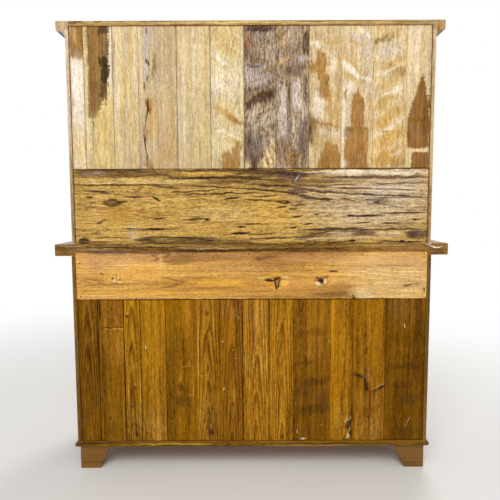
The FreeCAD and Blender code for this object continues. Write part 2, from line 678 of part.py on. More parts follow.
def panelled_frame(door):
    """Two stiles with a groove along the inner edge; two grooved rails with stub tenons in it."""
    g0 = door.front + GROOVE_SETBACK
    g1 = g0 + GROOVE_WIDTH
    solids = []
    for (x0, x1), inward in zip(door.stile_spans(), (1, -1)):
        edge = x1 if inward > 0 else x0
        stile = block(x0, x1, door.front, door.back, door.z0, door.z1)
        groove = block(edge, edge - inward * GROOVE_DEPTH, g0, g1, door.z0, door.z1)
        solids.append(door.fitted(stile.cut(groove)))
    left, right = door.x0 + DOOR_STILE_WIDTH, door.x1 - DOOR_STILE_WIDTH
    reach = GROOVE_DEPTH - JOINT_CLEARANCE
    for z0, z1, inward in door.rail_spans():
        rail = block(left, right, door.front, door.back, z0, z1)
        tenon = block(left - reach, right + reach, g0 + JOINT_CLEARANCE, g1 - JOINT_CLEARANCE, z0, z1)
        edge = z1 if inward > 0 else z0
        groove = block(left - reach, right + reach, g0, g1, edge, edge - inward * GROOVE_DEPTH)
        solids.append(fused(rail, tenon).cut(groove).Solids[0])
    return solids


def fielded_panel(door):
    """Panel whose thin edge floats in the grooves, bevelled up to a raised field in front."""
    left, right = door.x0 + DOOR_STILE_WIDTH, door.x1 - DOOR_STILE_WIDTH
    low, high = door.z0 + DOOR_RAIL_HEIGHT, door.z1 - DOOR_RAIL_HEIGHT
    reach = GROOVE_DEPTH - PANEL_CLEARANCE
    edge_front = door.front + GROOVE_SETBACK + JOINT_CLEARANCE
    edge_back = door.front + GROOVE_SETBACK + GROOVE_WIDTH - JOINT_CLEARANCE
    plate = block(left - reach, right + reach, edge_front, edge_back, low - reach, high + reach)
    start, bevel = PANEL_CLEARANCE, PANEL_CLEARANCE + PANEL_BEVEL_WIDTH

    def rectangle(inset, y):
        corners = [(left + inset, low + inset), (right - inset, low + inset),
                   (right - inset, high - inset), (left + inset, high - inset)]
        points = [Vector(x, y, z) for x, z in corners]
        return Part.makePolygon([*points, points[0]])

    field = Part.makeLoft([rectangle(start, edge_front),
                           rectangle(bevel, door.front + PANEL_FIELD_SETBACK)], True, True)
    return [fused(plate, field)]


def glazed_frame(door):
    """Two stiles with a glass rebate at the back; two rails whose back halves fill the rebates."""
    lip = door.back - GLASS_REBATE_DEPTH
    solids = []
    for (x0, x1), inward in zip(door.stile_spans(), (1, -1)):
        edge = x1 if inward > 0 else x0
        stile = block(x0, x1, door.front, door.back, door.z0, door.z1)
        rebate = block(edge, edge - inward * GLASS_REBATE_WIDTH, lip, door.back, door.z0, door.z1)
        solids.append(door.fitted(stile.cut(rebate)))
    left, right = door.x0 + DOOR_STILE_WIDTH, door.x1 - DOOR_STILE_WIDTH
    reach = GLASS_REBATE_WIDTH - JOINT_CLEARANCE
    for z0, z1, inward in door.rail_spans():
        front_half = block(left, right, door.front, lip, z0, z1)
        outer, edge = (z0, z1) if inward > 0 else (z1, z0)
        back_half = block(left - reach, right + reach, lip, door.back, outer,
                          edge - inward * GLASS_REBATE_WIDTH)
        solids.append(fused(front_half, back_half))
    return solids


def glass_space(door):
    """X and Z spans of the rebate that holds the glass and its beads."""
    inset_x = DOOR_STILE_WIDTH - GLASS_REBATE_WIDTH
    inset_z = DOOR_RAIL_HEIGHT - GLASS_REBATE_WIDTH
    return door.x0 + inset_x, door.x1 - inset_x, door.z0 + inset_z, door.z1 - inset_z


def glass_pane(door):
    x0, x1, z0, z1 = glass_space(door)
    c = GLASS_CLEARANCE
    y0 = door.back - GLASS_REBATE_DEPTH
    return [block(x0 + c, x1 - c, y0, y0 + GLASS_THICKNESS, z0 + c, z1 - c)]


def glazing_beads(door):
    """Four strips behind the glass, chamfered toward the sight edge. The upright ones stand between
    the lying ones."""
    x0, x1, z0, z1 = glass_space(door)
    c = JOINT_CLEARANCE
    y0 = door.back - GLASS_REBATE_DEPTH + GLASS_THICKNESS
    y1 = door.back
    width = GLASS_REBATE_WIDTH - c
    section = [(0, y0), (width, y0), (width, y1 - BEAD_CHAMFER), (width - BEAD_CHAMFER, y1), (0, y1)]
    solids = []
    for start, inward in ((z0 + c, 1), (z1 - c, -1)):
        points = [Vector(x0 + c, y, start + inward * run) for run, y in section]
        solids.append(prism(points, Vector(x1 - x0 - 2 * c, 0, 0)))
    low, high = z0 + 2 * c + width, z1 - 2 * c - width
    for start, inward in ((x0 + c, 1), (x1 - c, -1)):
        points = [Vector(start + inward * run, y, low) for run, y in section]
        solids.append(prism(points, Vector(0, 0, high - low)))
    return solids


# Drawers

class Drawer:
    """Place of one inset drawer in its opening."""

    def __init__(self, opening):
        self.x0, self.x1 = opening[0] + DRAWER_GAP, opening[1] - DRAWER_GAP
        self.z0, self.z1 = DRAWER_OPENING_BOTTOM + DRAWER_GAP, DRAWER_OPENING_TOP - DRAWER_GAP
        self.front = BASE_FRONT
        self.front_inside = BASE_FRONT + DRAWER_FRONT_THICKNESS
        self.box_back = BACK_INSIDE - BACK_RAIL_THICKNESS - DRAWER_BACK_GAP
        self.side_low = DRAWER_OPENING_BOTTOM + DRAWER_RUN_CLEARANCE
        self.side_high = min(self.side_low + DRAWER_SIDE_HEIGHT, self.z1 - DRAWER_GAP)
        self.bottom_low = self.side_low + DRAWER_BOTTOM_RISE
        self.bottom_high = self.bottom_low + DRAWER_BOTTOM_THICKNESS
        self.knob_x = (self.x0 + self.x1) / 2
        self.knob_z = (self.z0 + self.z1) / 2

    def side_spans(self):
        """(outer X, inner X) of the two sides."""
        outer = (self.x0 + DRAWER_SIDE_INSET, self.x1 - DRAWER_SIDE_INSET)
        return ((outer[0], outer[0] + DRAWER_SIDE_THICKNESS), (outer[1], outer[1] - DRAWER_SIDE_THICKNESS))

    def tails(self, outer, inner, root_y, length, z0, z1):
        """Dovetails of a side beyond root_y, wider at the tip, evenly spaced between z0 and z1."""
        pitch = (z1 - z0) / DOVETAIL_COUNT
        half_tip = pitch * DOVETAIL_WIDTH_SHARE / 2
        half_root = half_tip - abs(length) / DOVETAIL_SLOPE
        solids = []
        for i in range(DOVETAIL_COUNT):
            mid = z0 + (i + 0.5) * pitch
            points = [(root_y, mid - half_root), (root_y + length, mid - half_tip),
                      (root_y + length, mid + half_tip), (root_y, mid + half_root)]
            solids.append(prism([Vector(outer, y, z) for y, z in points], Vector(inner - outer, 0, 0)))
        return solids

    def front_tails(self, outer, inner):
        return self.tails(outer, inner, self.front_inside, -DOVETAIL_LAP, self.bottom_high, self.side_high)

    def back_tails(self, outer, inner):
        root = self.box_back - DRAWER_SIDE_THICKNESS
        return self.tails(outer, inner, root, DRAWER_SIDE_THICKNESS, self.bottom_high, self.side_high)


def drawer_front(drawer):
    """Inset front with sockets for the side tails and a groove for the bottom."""
    board = block(drawer.x0, drawer.x1, drawer.front, drawer.front_inside, drawer.z0, drawer.z1)
    (left_out, left_in), (right_out, right_in) = drawer.side_spans()
    cuts = [*drawer.front_tails(left_out, left_in), *drawer.front_tails(right_out, right_in)]
    cuts.append(block(left_in - DRAWER_GROOVE_DEPTH, right_in + DRAWER_GROOVE_DEPTH,
                      drawer.front_inside - DRAWER_GROOVE_DEPTH, drawer.front_inside,
                      drawer.bottom_low, drawer.bottom_high))
    cuts.append(knob_hole(drawer.knob_x, drawer.front, drawer.knob_z))
    return [board.cut(cuts).Solids[0]]


def drawer_box(drawer):
    """Two dovetailed sides, a back above the bottom, and the bottom in its grooves."""
    back_front = drawer.box_back - DRAWER_SIDE_THICKNESS
    sides, all_back_tails = [], []
    for outer, inner in drawer.side_spans():
        inward = 1 if inner > outer else -1
        side = block(outer, inner, drawer.front_inside, back_front, drawer.side_low, drawer.side_high)
        low_end = block(outer, inner, back_front, drawer.box_back, drawer.side_low, drawer.bottom_high)
        back_tails = drawer.back_tails(outer, inner)
        all_back_tails += back_tails
        groove = block(inner, inner - inward * DRAWER_GROOVE_DEPTH, drawer.front_inside, drawer.box_back,
                       drawer.bottom_low, drawer.bottom_high)
        whole = fused(side, low_end, *drawer.front_tails(outer, inner), *back_tails)
        sides.append(whole.cut(groove).Solids[0])
    (left_out, left_in), (right_out, right_in) = drawer.side_spans()
    back = block(left_out, right_out, back_front, drawer.box_back, drawer.bottom_high, drawer.side_high)
    reach = DRAWER_GROOVE_DEPTH - JOINT_CLEARANCE
    bottom = block(left_in - reach, right_in + reach, drawer.front_inside - reach, drawer.box_back,
                   drawer.bottom_low + JOINT_CLEARANCE, drawer.bottom_high - JOINT_CLEARANCE)
    return [*sides, back.cut(all_back_tails).Solids[0], bottom]


# Assembly

BASE_DOORS = {bay: Door(bay, opening, BASE_FRONT, BASE_DOOR_BOTTOM, BASE_DOOR_TOP, BASE_KNOB_HEIGHT)
              for bay, opening in zip(BAYS, bay_openings(BASE_WIDTH))}
GLAZED_DOORS = {bay: Door(bay, opening, UPPER_FRONT, UPPER_DOOR_BOTTOM, UPPER_DOOR_TOP, GLAZED_KNOB_HEIGHT)
                for bay, opening in zip(BAYS, bay_openings(UPPER_WIDTH))}
DRAWERS = {bay: Drawer(opening) for bay, opening in zip(BAYS, bay_openings(BASE_WIDTH))}


def fixed_nodes():
    """Everything that stands still, node by node."""
    doors = [*BASE_DOORS.values(), *GLAZED_DOORS.values()]
    base_pins = shelf_pins(pin_places(bay_insides(BASE_WIDTH), BASE_FRONT), BASE_SHELF_UNDERSIDE)
    display_pins = shelf_pins(pin_places(bay_insides(UPPER_WIDTH), UPPER_FRONT), DISPLAY_SHELF_UNDERSIDE)
    moulding_reach = MOULDING_NECK + MOULDING_TORUS_RADIUS
    board_low = BASE_FLOOR + BACK_END_GAP
    upper_board_low = UPPER_PLANK_TOP + BACK_END_GAP
    return {
        "bracket_feet": bracket_feet(),
        "base_bottom": base_bottom(),
        "base_moulding": mitred_run(base_moulding_face, BASE_WIDTH, BASE_FRONT, 0, moulding_reach,
                                    FOOT_HEIGHT, FOOT_HEIGHT + MOULDING_HEIGHT),
        "base_sides": base_sides(),
        "base_partitions": partitions(BASE_WIDTH, BASE_FRONT, BASE_FLOOR, WORKTOP_UNDERSIDE,
                                      BASE_SHELF_UNDERSIDE),
        "base_shelves": shelves(BASE_WIDTH, BASE_FRONT, BASE_SHELF_UNDERSIDE),
        "base_face_frame": base_face_frame(),
        "drawer_runners": drawer_runners(),
        "base_back_plank": back_plank(BASE_WIDTH, BASE_PLANK_BOTTOM, BASE_PLANK_TOP),
        "base_back_boards": back_boards(BASE_WIDTH, BASE_BOARD_WIDTHS, board_low,
                                        BASE_PLANK_BOTTOM - BACK_END_GAP),
        "worktop": worktop(),
        "upper_sides": upper_sides(),
        "upper_floor": upper_floor(),
        "upper_partitions": partitions(UPPER_WIDTH, UPPER_FRONT, UPPER_FLOOR_TOP, TOP_UNDERSIDE,
                                       DISPLAY_SHELF_UNDERSIDE),
        "display_shelves": shelves(UPPER_WIDTH, UPPER_FRONT, DISPLAY_SHELF_UNDERSIDE),
        "shelf_pins": [*base_pins, *display_pins],
        "upper_face_frame": upper_face_frame(),
        "upper_back_plank": back_plank(UPPER_WIDTH, WORKTOP_TOP, UPPER_PLANK_TOP),
        "upper_back_boards": back_boards(UPPER_WIDTH, UPPER_BOARD_WIDTHS, upper_board_low, TOP_UNDERSIDE),
        "upper_top": upper_top(),
        "cornice": cornice(),
        "hinge_frame_leaves": [leaf for door in doors for leaf in door.frame_leaves()],
        "hinge_pins": [pin for door in doors for pin in door.pins()],
        "door_catches": [door.catch() for door in doors],
    }


def moving_nodes():
    """Doors and drawers, bay by bay."""
    nodes = {}
    for bay, door in BASE_DOORS.items():
        nodes[f"base_door_{bay}_frame"] = panelled_frame(door)
        nodes[f"base_door_{bay}_panel"] = fielded_panel(door)
        nodes[f"base_door_{bay}_knob"] = [knob(door.knob_x, door.front, door.knob_z)]
        nodes[f"base_door_{bay}_hardware"] = door.hardware()
    for bay, door in GLAZED_DOORS.items():
        nodes[f"glazed_door_{bay}_frame"] = glazed_frame(door)
        nodes[f"glazed_door_{bay}_glass"] = glass_pane(door)
        nodes[f"glazed_door_{bay}_beads"] = glazing_beads(door)
        nodes[f"glazed_door_{bay}_knob"] = [knob(door.knob_x, door.front, door.knob_z)]
        nodes[f"glazed_door_{bay}_hardware"] = door.hardware()
    for bay, drawer in DRAWERS.items():
        nodes[f"drawer_{bay}_front"] = drawer_front(drawer)
        nodes[f"drawer_{bay}_box"] = drawer_box(drawer)
        nodes[f"drawer_{bay}_knob"] = [knob(drawer.knob_x, drawer.front, drawer.knob_z)]
    return nodes


def main():
    os.makedirs("parts", exist_ok=True)
    nodes = {**fixed_nodes(), **moving_nodes()}
    for node, solids in nodes.items():
        export(node, solids)
    print(len(nodes), "nodes,", sum(len(solids) for solids in nodes.values()), "solids")


main()
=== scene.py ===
import json
import math

import bpy
from mathutils import Color, Matrix, Vector

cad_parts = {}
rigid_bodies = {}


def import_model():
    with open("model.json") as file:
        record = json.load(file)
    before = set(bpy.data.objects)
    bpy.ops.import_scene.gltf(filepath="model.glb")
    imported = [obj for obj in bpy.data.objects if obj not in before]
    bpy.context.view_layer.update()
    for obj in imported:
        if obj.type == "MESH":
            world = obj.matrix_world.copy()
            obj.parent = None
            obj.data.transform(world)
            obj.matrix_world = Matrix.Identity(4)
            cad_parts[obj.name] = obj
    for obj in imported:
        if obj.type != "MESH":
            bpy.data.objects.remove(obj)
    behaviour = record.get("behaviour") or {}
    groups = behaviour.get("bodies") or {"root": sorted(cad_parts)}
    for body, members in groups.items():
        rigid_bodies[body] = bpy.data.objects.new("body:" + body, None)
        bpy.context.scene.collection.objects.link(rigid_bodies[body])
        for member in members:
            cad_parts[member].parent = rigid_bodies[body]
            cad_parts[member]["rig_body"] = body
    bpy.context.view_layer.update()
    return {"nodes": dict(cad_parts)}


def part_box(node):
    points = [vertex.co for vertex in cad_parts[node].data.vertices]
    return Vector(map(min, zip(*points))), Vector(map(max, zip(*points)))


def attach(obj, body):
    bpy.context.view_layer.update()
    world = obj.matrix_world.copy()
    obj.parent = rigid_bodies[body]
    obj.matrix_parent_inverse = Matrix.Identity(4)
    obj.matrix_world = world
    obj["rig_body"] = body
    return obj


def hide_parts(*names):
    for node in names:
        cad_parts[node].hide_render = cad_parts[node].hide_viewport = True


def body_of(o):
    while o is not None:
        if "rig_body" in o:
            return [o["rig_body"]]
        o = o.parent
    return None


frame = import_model()

# The studio: a pale floor in a white surround, a broad soft lamp high on the side of the cupboard's
# back and a weaker one before its front. The camera stands behind the cupboard, above the worktop.
FLOOR_SIZE = 60.0
FLOOR_TINT = (238, 237, 234)
FLOOR_FADE = (1.2, 4.5)
AMBIENT = 0.5
CAMERA_PLACE = (0.0065, 2.614, 1.279)
CAMERA_PITCH = 5.2
CAMERA_ROLL = -0.22
CAMERA_LENS = 36.36
CAMERA_SENSOR = 36.0
LAMPS = (
    ("back_lamp", (0.5, 4.2, 4.4), (0.0, 0.2, 1.1), 3.4, 155.0),
    ("front_lamp", (-2.2, -4.6, 3.6), (0.0, -0.1, 1.0), 3.0, 150.0),
)


def paint(red, green, blue):
    """A colour in screen values from 0 to 255, as a shader takes it."""
    return (*Color((red / 255, green / 255, blue / 255)).from_srgb_to_scene_linear(), 1.0)


def give(tree, node, sockets):
    """Gives each named socket of a node a value or a link."""
    for key, value in sockets.items():
        if isinstance(value, bpy.types.NodeSocket):
            tree.links.new(value, node.inputs[key])
        else:
            node.inputs[key].default_value = value


def put(tree, kind, sockets=None, **settings):
    """Adds a node, sets what it is, then gives its sockets a value or a link each."""
    node = tree.nodes.new(kind)
    for name, value in settings.items():
        setattr(node, name, value)
    give(tree, node, sockets or {})
    return node


def reckon(tree, operation, *values):
    """One sum on numbers, and the socket that holds its result."""
    return put(tree, "ShaderNodeMath", dict(enumerate(values)), operation=operation).outputs[0]


def new_material(name):
    """A material with an empty node tree."""
    material = bpy.data.materials.new(name)
    material.use_nodes = True
    material.node_tree.nodes.clear()
    return material, material.node_tree


def surface(tree, **sockets):
    """The shader that ends a material, its sockets named with _ for a space."""
    values = {name.replace("_", " "): value for name, value in sockets.items()}
    shader = put(tree, "ShaderNodeBsdfPrincipled", values).outputs[0]
    put(tree, "ShaderNodeOutputMaterial", {"Surface": shader})


def looked_at(tree):
    """1 for what is seen directly, in a reflection or through glass, and 0 for light that bounces."""
    rays = put(tree, "ShaderNodeLightPath").outputs
    through = reckon(tree, "MAXIMUM", rays["Is Glossy Ray"], rays["Is Transmission Ray"])
    return reckon(tree, "MAXIMUM", rays["Is Camera Ray"], through)


def smooth_step(tree, value, start, end):
    """0 before start, 1 after end, eased between them."""
    sockets = {0: value, 1: start, 2: end}
    return put(tree, "ShaderNodeMapRange", sockets, interpolation_type="SMOOTHSTEP").outputs[0]


bpy.context.scene.view_settings.view_transform = "Standard"
world = bpy.data.worlds.new("studio")
world.use_nodes = True
world.node_tree.nodes.clear()
bpy.context.scene.world = world
seen = looked_at(world.node_tree)
brightness = reckon(world.node_tree, "MULTIPLY_ADD", seen, 1.0 - AMBIENT, AMBIENT)
surround = put(world.node_tree, "ShaderNodeBackground", {"Color": (1, 1, 1, 1), "Strength": brightness})
put(world.node_tree, "ShaderNodeOutputWorld", {"Surface": surround.outputs[0]})

for lamp_name, lamp_place, lamp_target, lamp_size, lamp_power in LAMPS:
    lamp_data = bpy.data.lights.new(lamp_name, "AREA")
    lamp_data.shape = "DISK"
    lamp_data.size = lamp_size
    lamp_data.energy = lamp_power
    lamp = bpy.data.objects.new(lamp_name, lamp_data)
    bpy.context.scene.collection.objects.link(lamp)
    lamp.visible_glossy = False
    lamp.location = lamp_place
    aim = Vector(lamp_target) - Vector(lamp_place)
    lamp.rotation_euler = aim.to_track_quat("-Z", "Y").to_euler()

bpy.ops.object.select_all(action="DESELECT")
bpy.ops.mesh.primitive_plane_add(size=FLOOR_SIZE)
floor = bpy.context.object
floor.name = "studio_floor"
floor_material, floor_tree = new_material("studio_floor")
floor_values = {"Base Color": paint(*FLOOR_TINT), "Roughness": 0.8, "Specular IOR Level": 0.1}
near_floor = put(floor_tree, "ShaderNodeBsdfPrincipled", floor_values).outputs[0]
far_floor = put(floor_tree, "ShaderNodeEmission", {"Strength": 1.0}).outputs[0]
floor_place = put(floor_tree, "ShaderNodeTexCoord").outputs["Object"]
distance = put(floor_tree, "ShaderNodeVectorMath", {0: floor_place}, operation="LENGTH").outputs["Value"]
faded = reckon(floor_tree, "MULTIPLY", smooth_step(floor_tree, distance, *FLOOR_FADE), looked_at(floor_tree))
floor_mix = put(floor_tree, "ShaderNodeMixShader", {0: faded, 1: near_floor, 2: far_floor}).outputs[0]
put(floor_tree, "ShaderNodeOutputMaterial", {"Surface": floor_mix})
floor.data.materials.append(floor_material)

camera_data = bpy.data.cameras.new("camera")
camera_data.lens = CAMERA_LENS
camera_data.sensor_width = CAMERA_SENSOR
camera = bpy.data.objects.new("camera", camera_data)
bpy.context.scene.collection.objects.link(camera)
turned_back = Matrix.Rotation(math.pi, 4, "Z")
tipped = Matrix.Rotation(math.radians(90.0 - CAMERA_PITCH), 4, "X")
rolled = Matrix.Rotation(math.radians(CAMERA_ROLL), 4, "Z")
camera_turn = turned_back @ tipped @ rolled
camera.matrix_world = Matrix.Translation(CAMERA_PLACE) @ camera_turn
bpy.context.scene.camera = camera

# Bracket feet: short sawn blocks of stained pine, two to a corner, tapered towards the floor and
# glued and screwed under the bottom board.
FOOT_LIGHT = (138, 92, 18)
FOOT_DARK = (80, 48, 8)
FOOT_EDGE = 0.001
AXES = "XYZ"
# Where plain noise starts and ends when it is stretched to the whole range
NOISE_LIMITS = (0.3, 0.7)


def blend_colours(tree, factor, under, over, how="MIX"):
    """Mixes two colours by a factor, and returns the socket of the result."""
    node = put(tree, "ShaderNodeMix", data_type="RGBA", blend_type=how, clamp_factor=True)
    give(tree, node, {0: factor, 6: under, 7: over})
    return node.outputs[2]


def new_group(name, takes, gives):
    """An empty node group with named inputs, at their starting values, and named outputs."""
    group = bpy.data.node_groups.new(name, "ShaderNodeTree")
    for label, start in takes.items():
        kind = "NodeSocketVector" if isinstance(start, tuple) else "NodeSocketFloat"
        group.interface.new_socket(label, in_out="INPUT", socket_type=kind).default_value = start
    for label in gives:
        group.interface.new_socket(label, in_out="OUTPUT", socket_type="NodeSocketFloat")
    return group, put(group, "NodeGroupInput").outputs, put(group, "NodeGroupOutput").inputs


def drawn_noise(tree, vector, stretch, detail, roughness=0.5):
    """Noise drawn out by a different amount along each axis."""
    drawn = put(tree, "ShaderNodeVectorMath", {0: vector, 1: stretch}, operation="MULTIPLY").outputs[0]
    sockets = {"Vector": drawn, "Scale": 1.0, "Detail": detail, "Roughness": roughness}
    return put(tree, "ShaderNodeTexNoise", sockets).outputs[0]


def centred(tree, value, amount):
    """A value from 0 to 1 as a swing about 0, amount wide to each side."""
    swing = reckon(tree, "SUBTRACT", value, 0.5)
    return reckon(tree, "MULTIPLY", swing, reckon(tree, "MULTIPLY", amount, 2.0))


def stark_noise(tree, vector, stretch, detail, roughness=0.5):
    """Drawn-out noise that uses the whole range from 0 to 1."""
    return smooth_step(tree, drawn_noise(tree, vector, stretch, detail, roughness), *NOISE_LIMITS)


# What fibres are made of: how far each layer is drawn out, its detail and its roughness
FIBRE_LAYERS = (
    ("Broad", (13.0, 13.0, 1.1), 2, 0.5),
    ("Streaks", (60.0, 30.0, 1.8), 3, 0.6),
    ("Dashes", (140.0, 80.0, 20.0), 2, 0.6),
    ("Specks", (150.0, 110.0, 75.0), 1, 0.5),
    ("Pores", (620.0, 200.0, 55.0), 2, 0.6),
    ("Saw", (6.0, 6.0, 110.0), 2, 0.6),
)


def make_fibres():
    """Wood fibres along Z: broad tone, streaks, dashes, specks, pores and the cross lines of a saw."""
    takes = {"Vector": (0.0, 0.0, 0.0), "Broad": 0.05, "Streaks": 0.08, "Dashes": 0.08, "Specks": 0.04,
             "Pores": 0.05, "Saw": 0.0}
    group, given, result = new_group("wood_fibres", takes, ("Tone", "Height"))
    tone = 0.5
    height = 0.0
    for label, stretch, detail, roughness in FIBRE_LAYERS:
        noise = stark_noise(group, given["Vector"], stretch, detail, roughness)
        tone = reckon(group, "ADD", centred(group, noise, given[label]), tone)
        if label != "Broad":
            height = reckon(group, "ADD", reckon(group, "MULTIPLY", noise, given[label]), height)
    group.links.new(tone, result["Tone"])
    group.links.new(height, result["Height"])
    return group


RING_SWAY = (5.0, 5.0, 1.3)
RING_TREMBLE = (30.0, 30.0, 4.0)
TREMBLE = 0.0012
LATE_WOOD = 2.2
RING_END = 0.86


def make_growth_rings():
    """Growth rings of a trunk along Z, cut by the face, which gives upright lines and arches."""
    takes = {"Vector": (0.0, 0.0, 0.0), "Heart": 0.0, "Face": 0.0, "Depth": 0.03, "Taper": 0.03,
             "Spacing": 0.007, "Wobble": 0.012}
    group, given, result = new_group("growth_rings", takes, ("Ring",))
    slow = drawn_noise(group, given["Vector"], RING_SWAY, 2)
    quick = drawn_noise(group, given["Vector"], RING_TREMBLE, 2)
    part = put(group, "ShaderNodeSeparateXYZ", {0: given["Vector"]}).outputs
    across = reckon(group, "SUBTRACT", part["X"], given["Heart"])
    across = reckon(group, "ADD", across, centred(group, slow, given["Wobble"]))
    across = reckon(group, "ADD", across, centred(group, quick, TREMBLE))
    deep = reckon(group, "MULTIPLY_ADD", part["Z"], given["Taper"], given["Depth"])
    deep = reckon(group, "ADD", deep, reckon(group, "SUBTRACT", part["Y"], given["Face"]))
    deep = reckon(group, "ADD", deep, centred(group, slow, given["Wobble"]))
    square = reckon(group, "MULTIPLY_ADD", across, across, reckon(group, "MULTIPLY", deep, deep))
    count = reckon(group, "DIVIDE", reckon(group, "SQRT", square), given["Spacing"])
    ring = reckon(group, "FRACT", count)
    grown = reckon(group, "POWER", ring, LATE_WOOD)
    cut = smooth_step(group, ring, 1.0, RING_END)
    group.links.new(reckon(group, "MULTIPLY", grown, cut), result["Ring"])
    return group


KNOT_CELLS = (5.5, 5.5, 2.6)
KNOT_LEAST = 0.02
KNOT_SPREAD = 0.045
CORE_BLUR = 1.25
HALO_REACH = 2.0


def make_knots():
    """Branch knots scattered through the timber: a dark core and the disturbed wood round it."""
    takes = {"Vector": (0.0, 0.0, 0.0), "Share": 0.4}
    group, given, result = new_group("branch_knots", takes, ("Core", "Halo"))
    sockets = {0: given["Vector"], 1: KNOT_CELLS}
    drawn = put(group, "ShaderNodeVectorMath", sockets, operation="MULTIPLY").outputs[0]
    cells = put(group, "ShaderNodeTexVoronoi", {"Vector": drawn, "Scale": 1.0}).outputs
    chance = put(group, "ShaderNodeSeparateColor", {0: cells["Color"]}).outputs
    kept = reckon(group, "LESS_THAN", chance[0], given["Share"])
    size = reckon(group, "MULTIPLY_ADD", chance[1], KNOT_SPREAD, KNOT_LEAST)
    core = smooth_step(group, cells["Distance"], reckon(group, "MULTIPLY", size, CORE_BLUR), size)
    halo = smooth_step(group, cells["Distance"], reckon(group, "MULTIPLY", size, HALO_REACH), size)
    group.links.new(reckon(group, "MULTIPLY", core, kept), result["Core"])
    group.links.new(reckon(group, "MULTIPLY", halo, kept), result["Halo"])
    return group


FIBRES = make_fibres()
RINGS = make_growth_rings()
KNOTS = make_knots()
GRAIN_TURN = {"X": (0.0, math.pi / 2, 0.0), "Y": (math.pi / 2, 0.0, 0.0), "Z": (0.0, 0.0, 0.0)}
STOCK_SHIFT = (0.93, 0.41, 2.7)


def place_group(tree, group, **sockets):
    """Places a node group with its inputs set, and returns its outputs."""
    node = put(tree, "ShaderNodeGroup", node_tree=group)
    give(tree, node, {name.replace("_", " "): value for name, value in sockets.items()})
    return node.outputs


def grain_place(tree, axis):
    """A place in a piece of stock, from its middle, its grain along Z, and that place moved on for each."""
    place = put(tree, "ShaderNodeTexCoord").outputs["Object"]
    middle = put(tree, "ShaderNodeAttribute", attribute_name="middle").outputs["Vector"]
    local = put(tree, "ShaderNodeVectorMath", {0: place, 1: middle}, operation="SUBTRACT").outputs[0]
    turned = put(tree, "ShaderNodeMapping", {"Vector": local, "Rotation": GRAIN_TURN[axis]}).outputs[0]
    stock = put(tree, "ShaderNodeAttribute", attribute_name="stock").outputs["Fac"]
    shift = put(tree, "ShaderNodeVectorMath", {0: STOCK_SHIFT, "Scale": stock}, operation="SCALE").outputs[0]
    moved = put(tree, "ShaderNodeVectorMath", {0: turned, 1: shift}, operation="ADD").outputs[0]
    return turned, moved, stock


HEART_STEP = 7.31
HEART_SPREAD = 0.07
CASE_RINGS = {"Depth": 0.04, "Taper": 0.045, "Spacing": 0.0105, "Wobble": 0.02}
CASE_FIBRES = {"Broad": 0.09, "Streaks": 0.12, "Dashes": 0.06, "Specks": 0.03}
RING_STRENGTH = 0.75
LEAST_GRAIN = 0.08
HALO_STRENGTH = 0.3
CORE_SHADE = 0.55
STOCK_TONE = 0.12
WAXED_SHADES = ((0.55, 0.5, 0.42, 1.0), (1.38, 1.42, 1.48, 1.0))
RING_HEIGHT = -0.6
PLANED_BUMP = {"Strength": 0.25, "Distance": 0.0006}
FIBRE_GLOSS = -0.16
WAX_ROUGHNESS = 0.35


def timber(name, axis, light, dark, rough=0.5, knots=0.3, wax=0.15):
    """Planed and waxed pine with its grain along one axis."""
    material, tree = new_material(name + "_" + axis.lower())
    turned, moved, stock = grain_place(tree, axis)
    chance = reckon(tree, "FRACT", reckon(tree, "MULTIPLY", stock, HEART_STEP))
    heart = centred(tree, chance, HEART_SPREAD)
    ring = place_group(tree, RINGS, Vector=turned, Heart=heart, **CASE_RINGS)["Ring"]
    fibre = place_group(tree, FIBRES, Vector=moved, **CASE_FIBRES)
    knot = place_group(tree, KNOTS, Vector=moved, Share=knots)
    grain = reckon(tree, "MULTIPLY_ADD", ring, RING_STRENGTH, LEAST_GRAIN)
    grain = reckon(tree, "MULTIPLY_ADD", knot["Halo"], HALO_STRENGTH, grain)
    colour = blend_colours(tree, grain, paint(*light), paint(*dark))
    core = tuple(CORE_SHADE * value for value in dark)
    colour = blend_colours(tree, knot["Core"], colour, paint(*core))
    tone = reckon(tree, "ADD", fibre["Tone"], centred(tree, reckon(tree, "FRACT", stock), STOCK_TONE))
    colour = blend_colours(tree, 1.0, colour, blend_colours(tree, tone, *WAXED_SHADES), "MULTIPLY")
    height = reckon(tree, "MULTIPLY_ADD", ring, RING_HEIGHT, fibre["Height"])
    bump = put(tree, "ShaderNodeBump", {**PLANED_BUMP, "Height": height}).outputs[0]
    gloss = reckon(tree, "MULTIPLY_ADD", fibre["Tone"], FIBRE_GLOSS, rough - FIBRE_GLOSS / 2)
    surface(tree, Base_Color=colour, Roughness=gloss, Coat_Weight=wax, Coat_Roughness=WAX_ROUGHNESS,
            Normal=bump)
    return material


def timbers(name, light, dark, **finish):
    """The same timber with its grain along each of the three axes."""
    return {axis: timber(name, axis, light, dark, **finish) for axis in AXES}


MERGE_DISTANCE = 0.00002
CORNER_STEP = 0.00005
FLAT_ANGLE = math.radians(1.0)
EDGE_ANGLE = math.radians(35.0)
SOFT_EDGE = 0.0009
STOCK_STEP = 0.618
NODE_STEP = 0.37


def apply_modifier(piece, kind, **settings):
    """Adds a modifier to the active piece and applies it."""
    modifier = piece.modifiers.new(kind.lower(), kind)
    for name, value in settings.items():
        setattr(modifier, name, value)
    bpy.ops.object.modifier_apply(modifier=modifier.name)


def ease_edges(piece, width):
    """Rounds the sharp edges of the active piece, or only shades them where they stay sharp."""
    if width:
        apply_modifier(piece, "BEVEL", width=width, segments=2, limit_method="ANGLE", angle_limit=EDGE_ANGLE)
    bpy.ops.object.shade_smooth_by_angle(angle=EDGE_ANGLE)


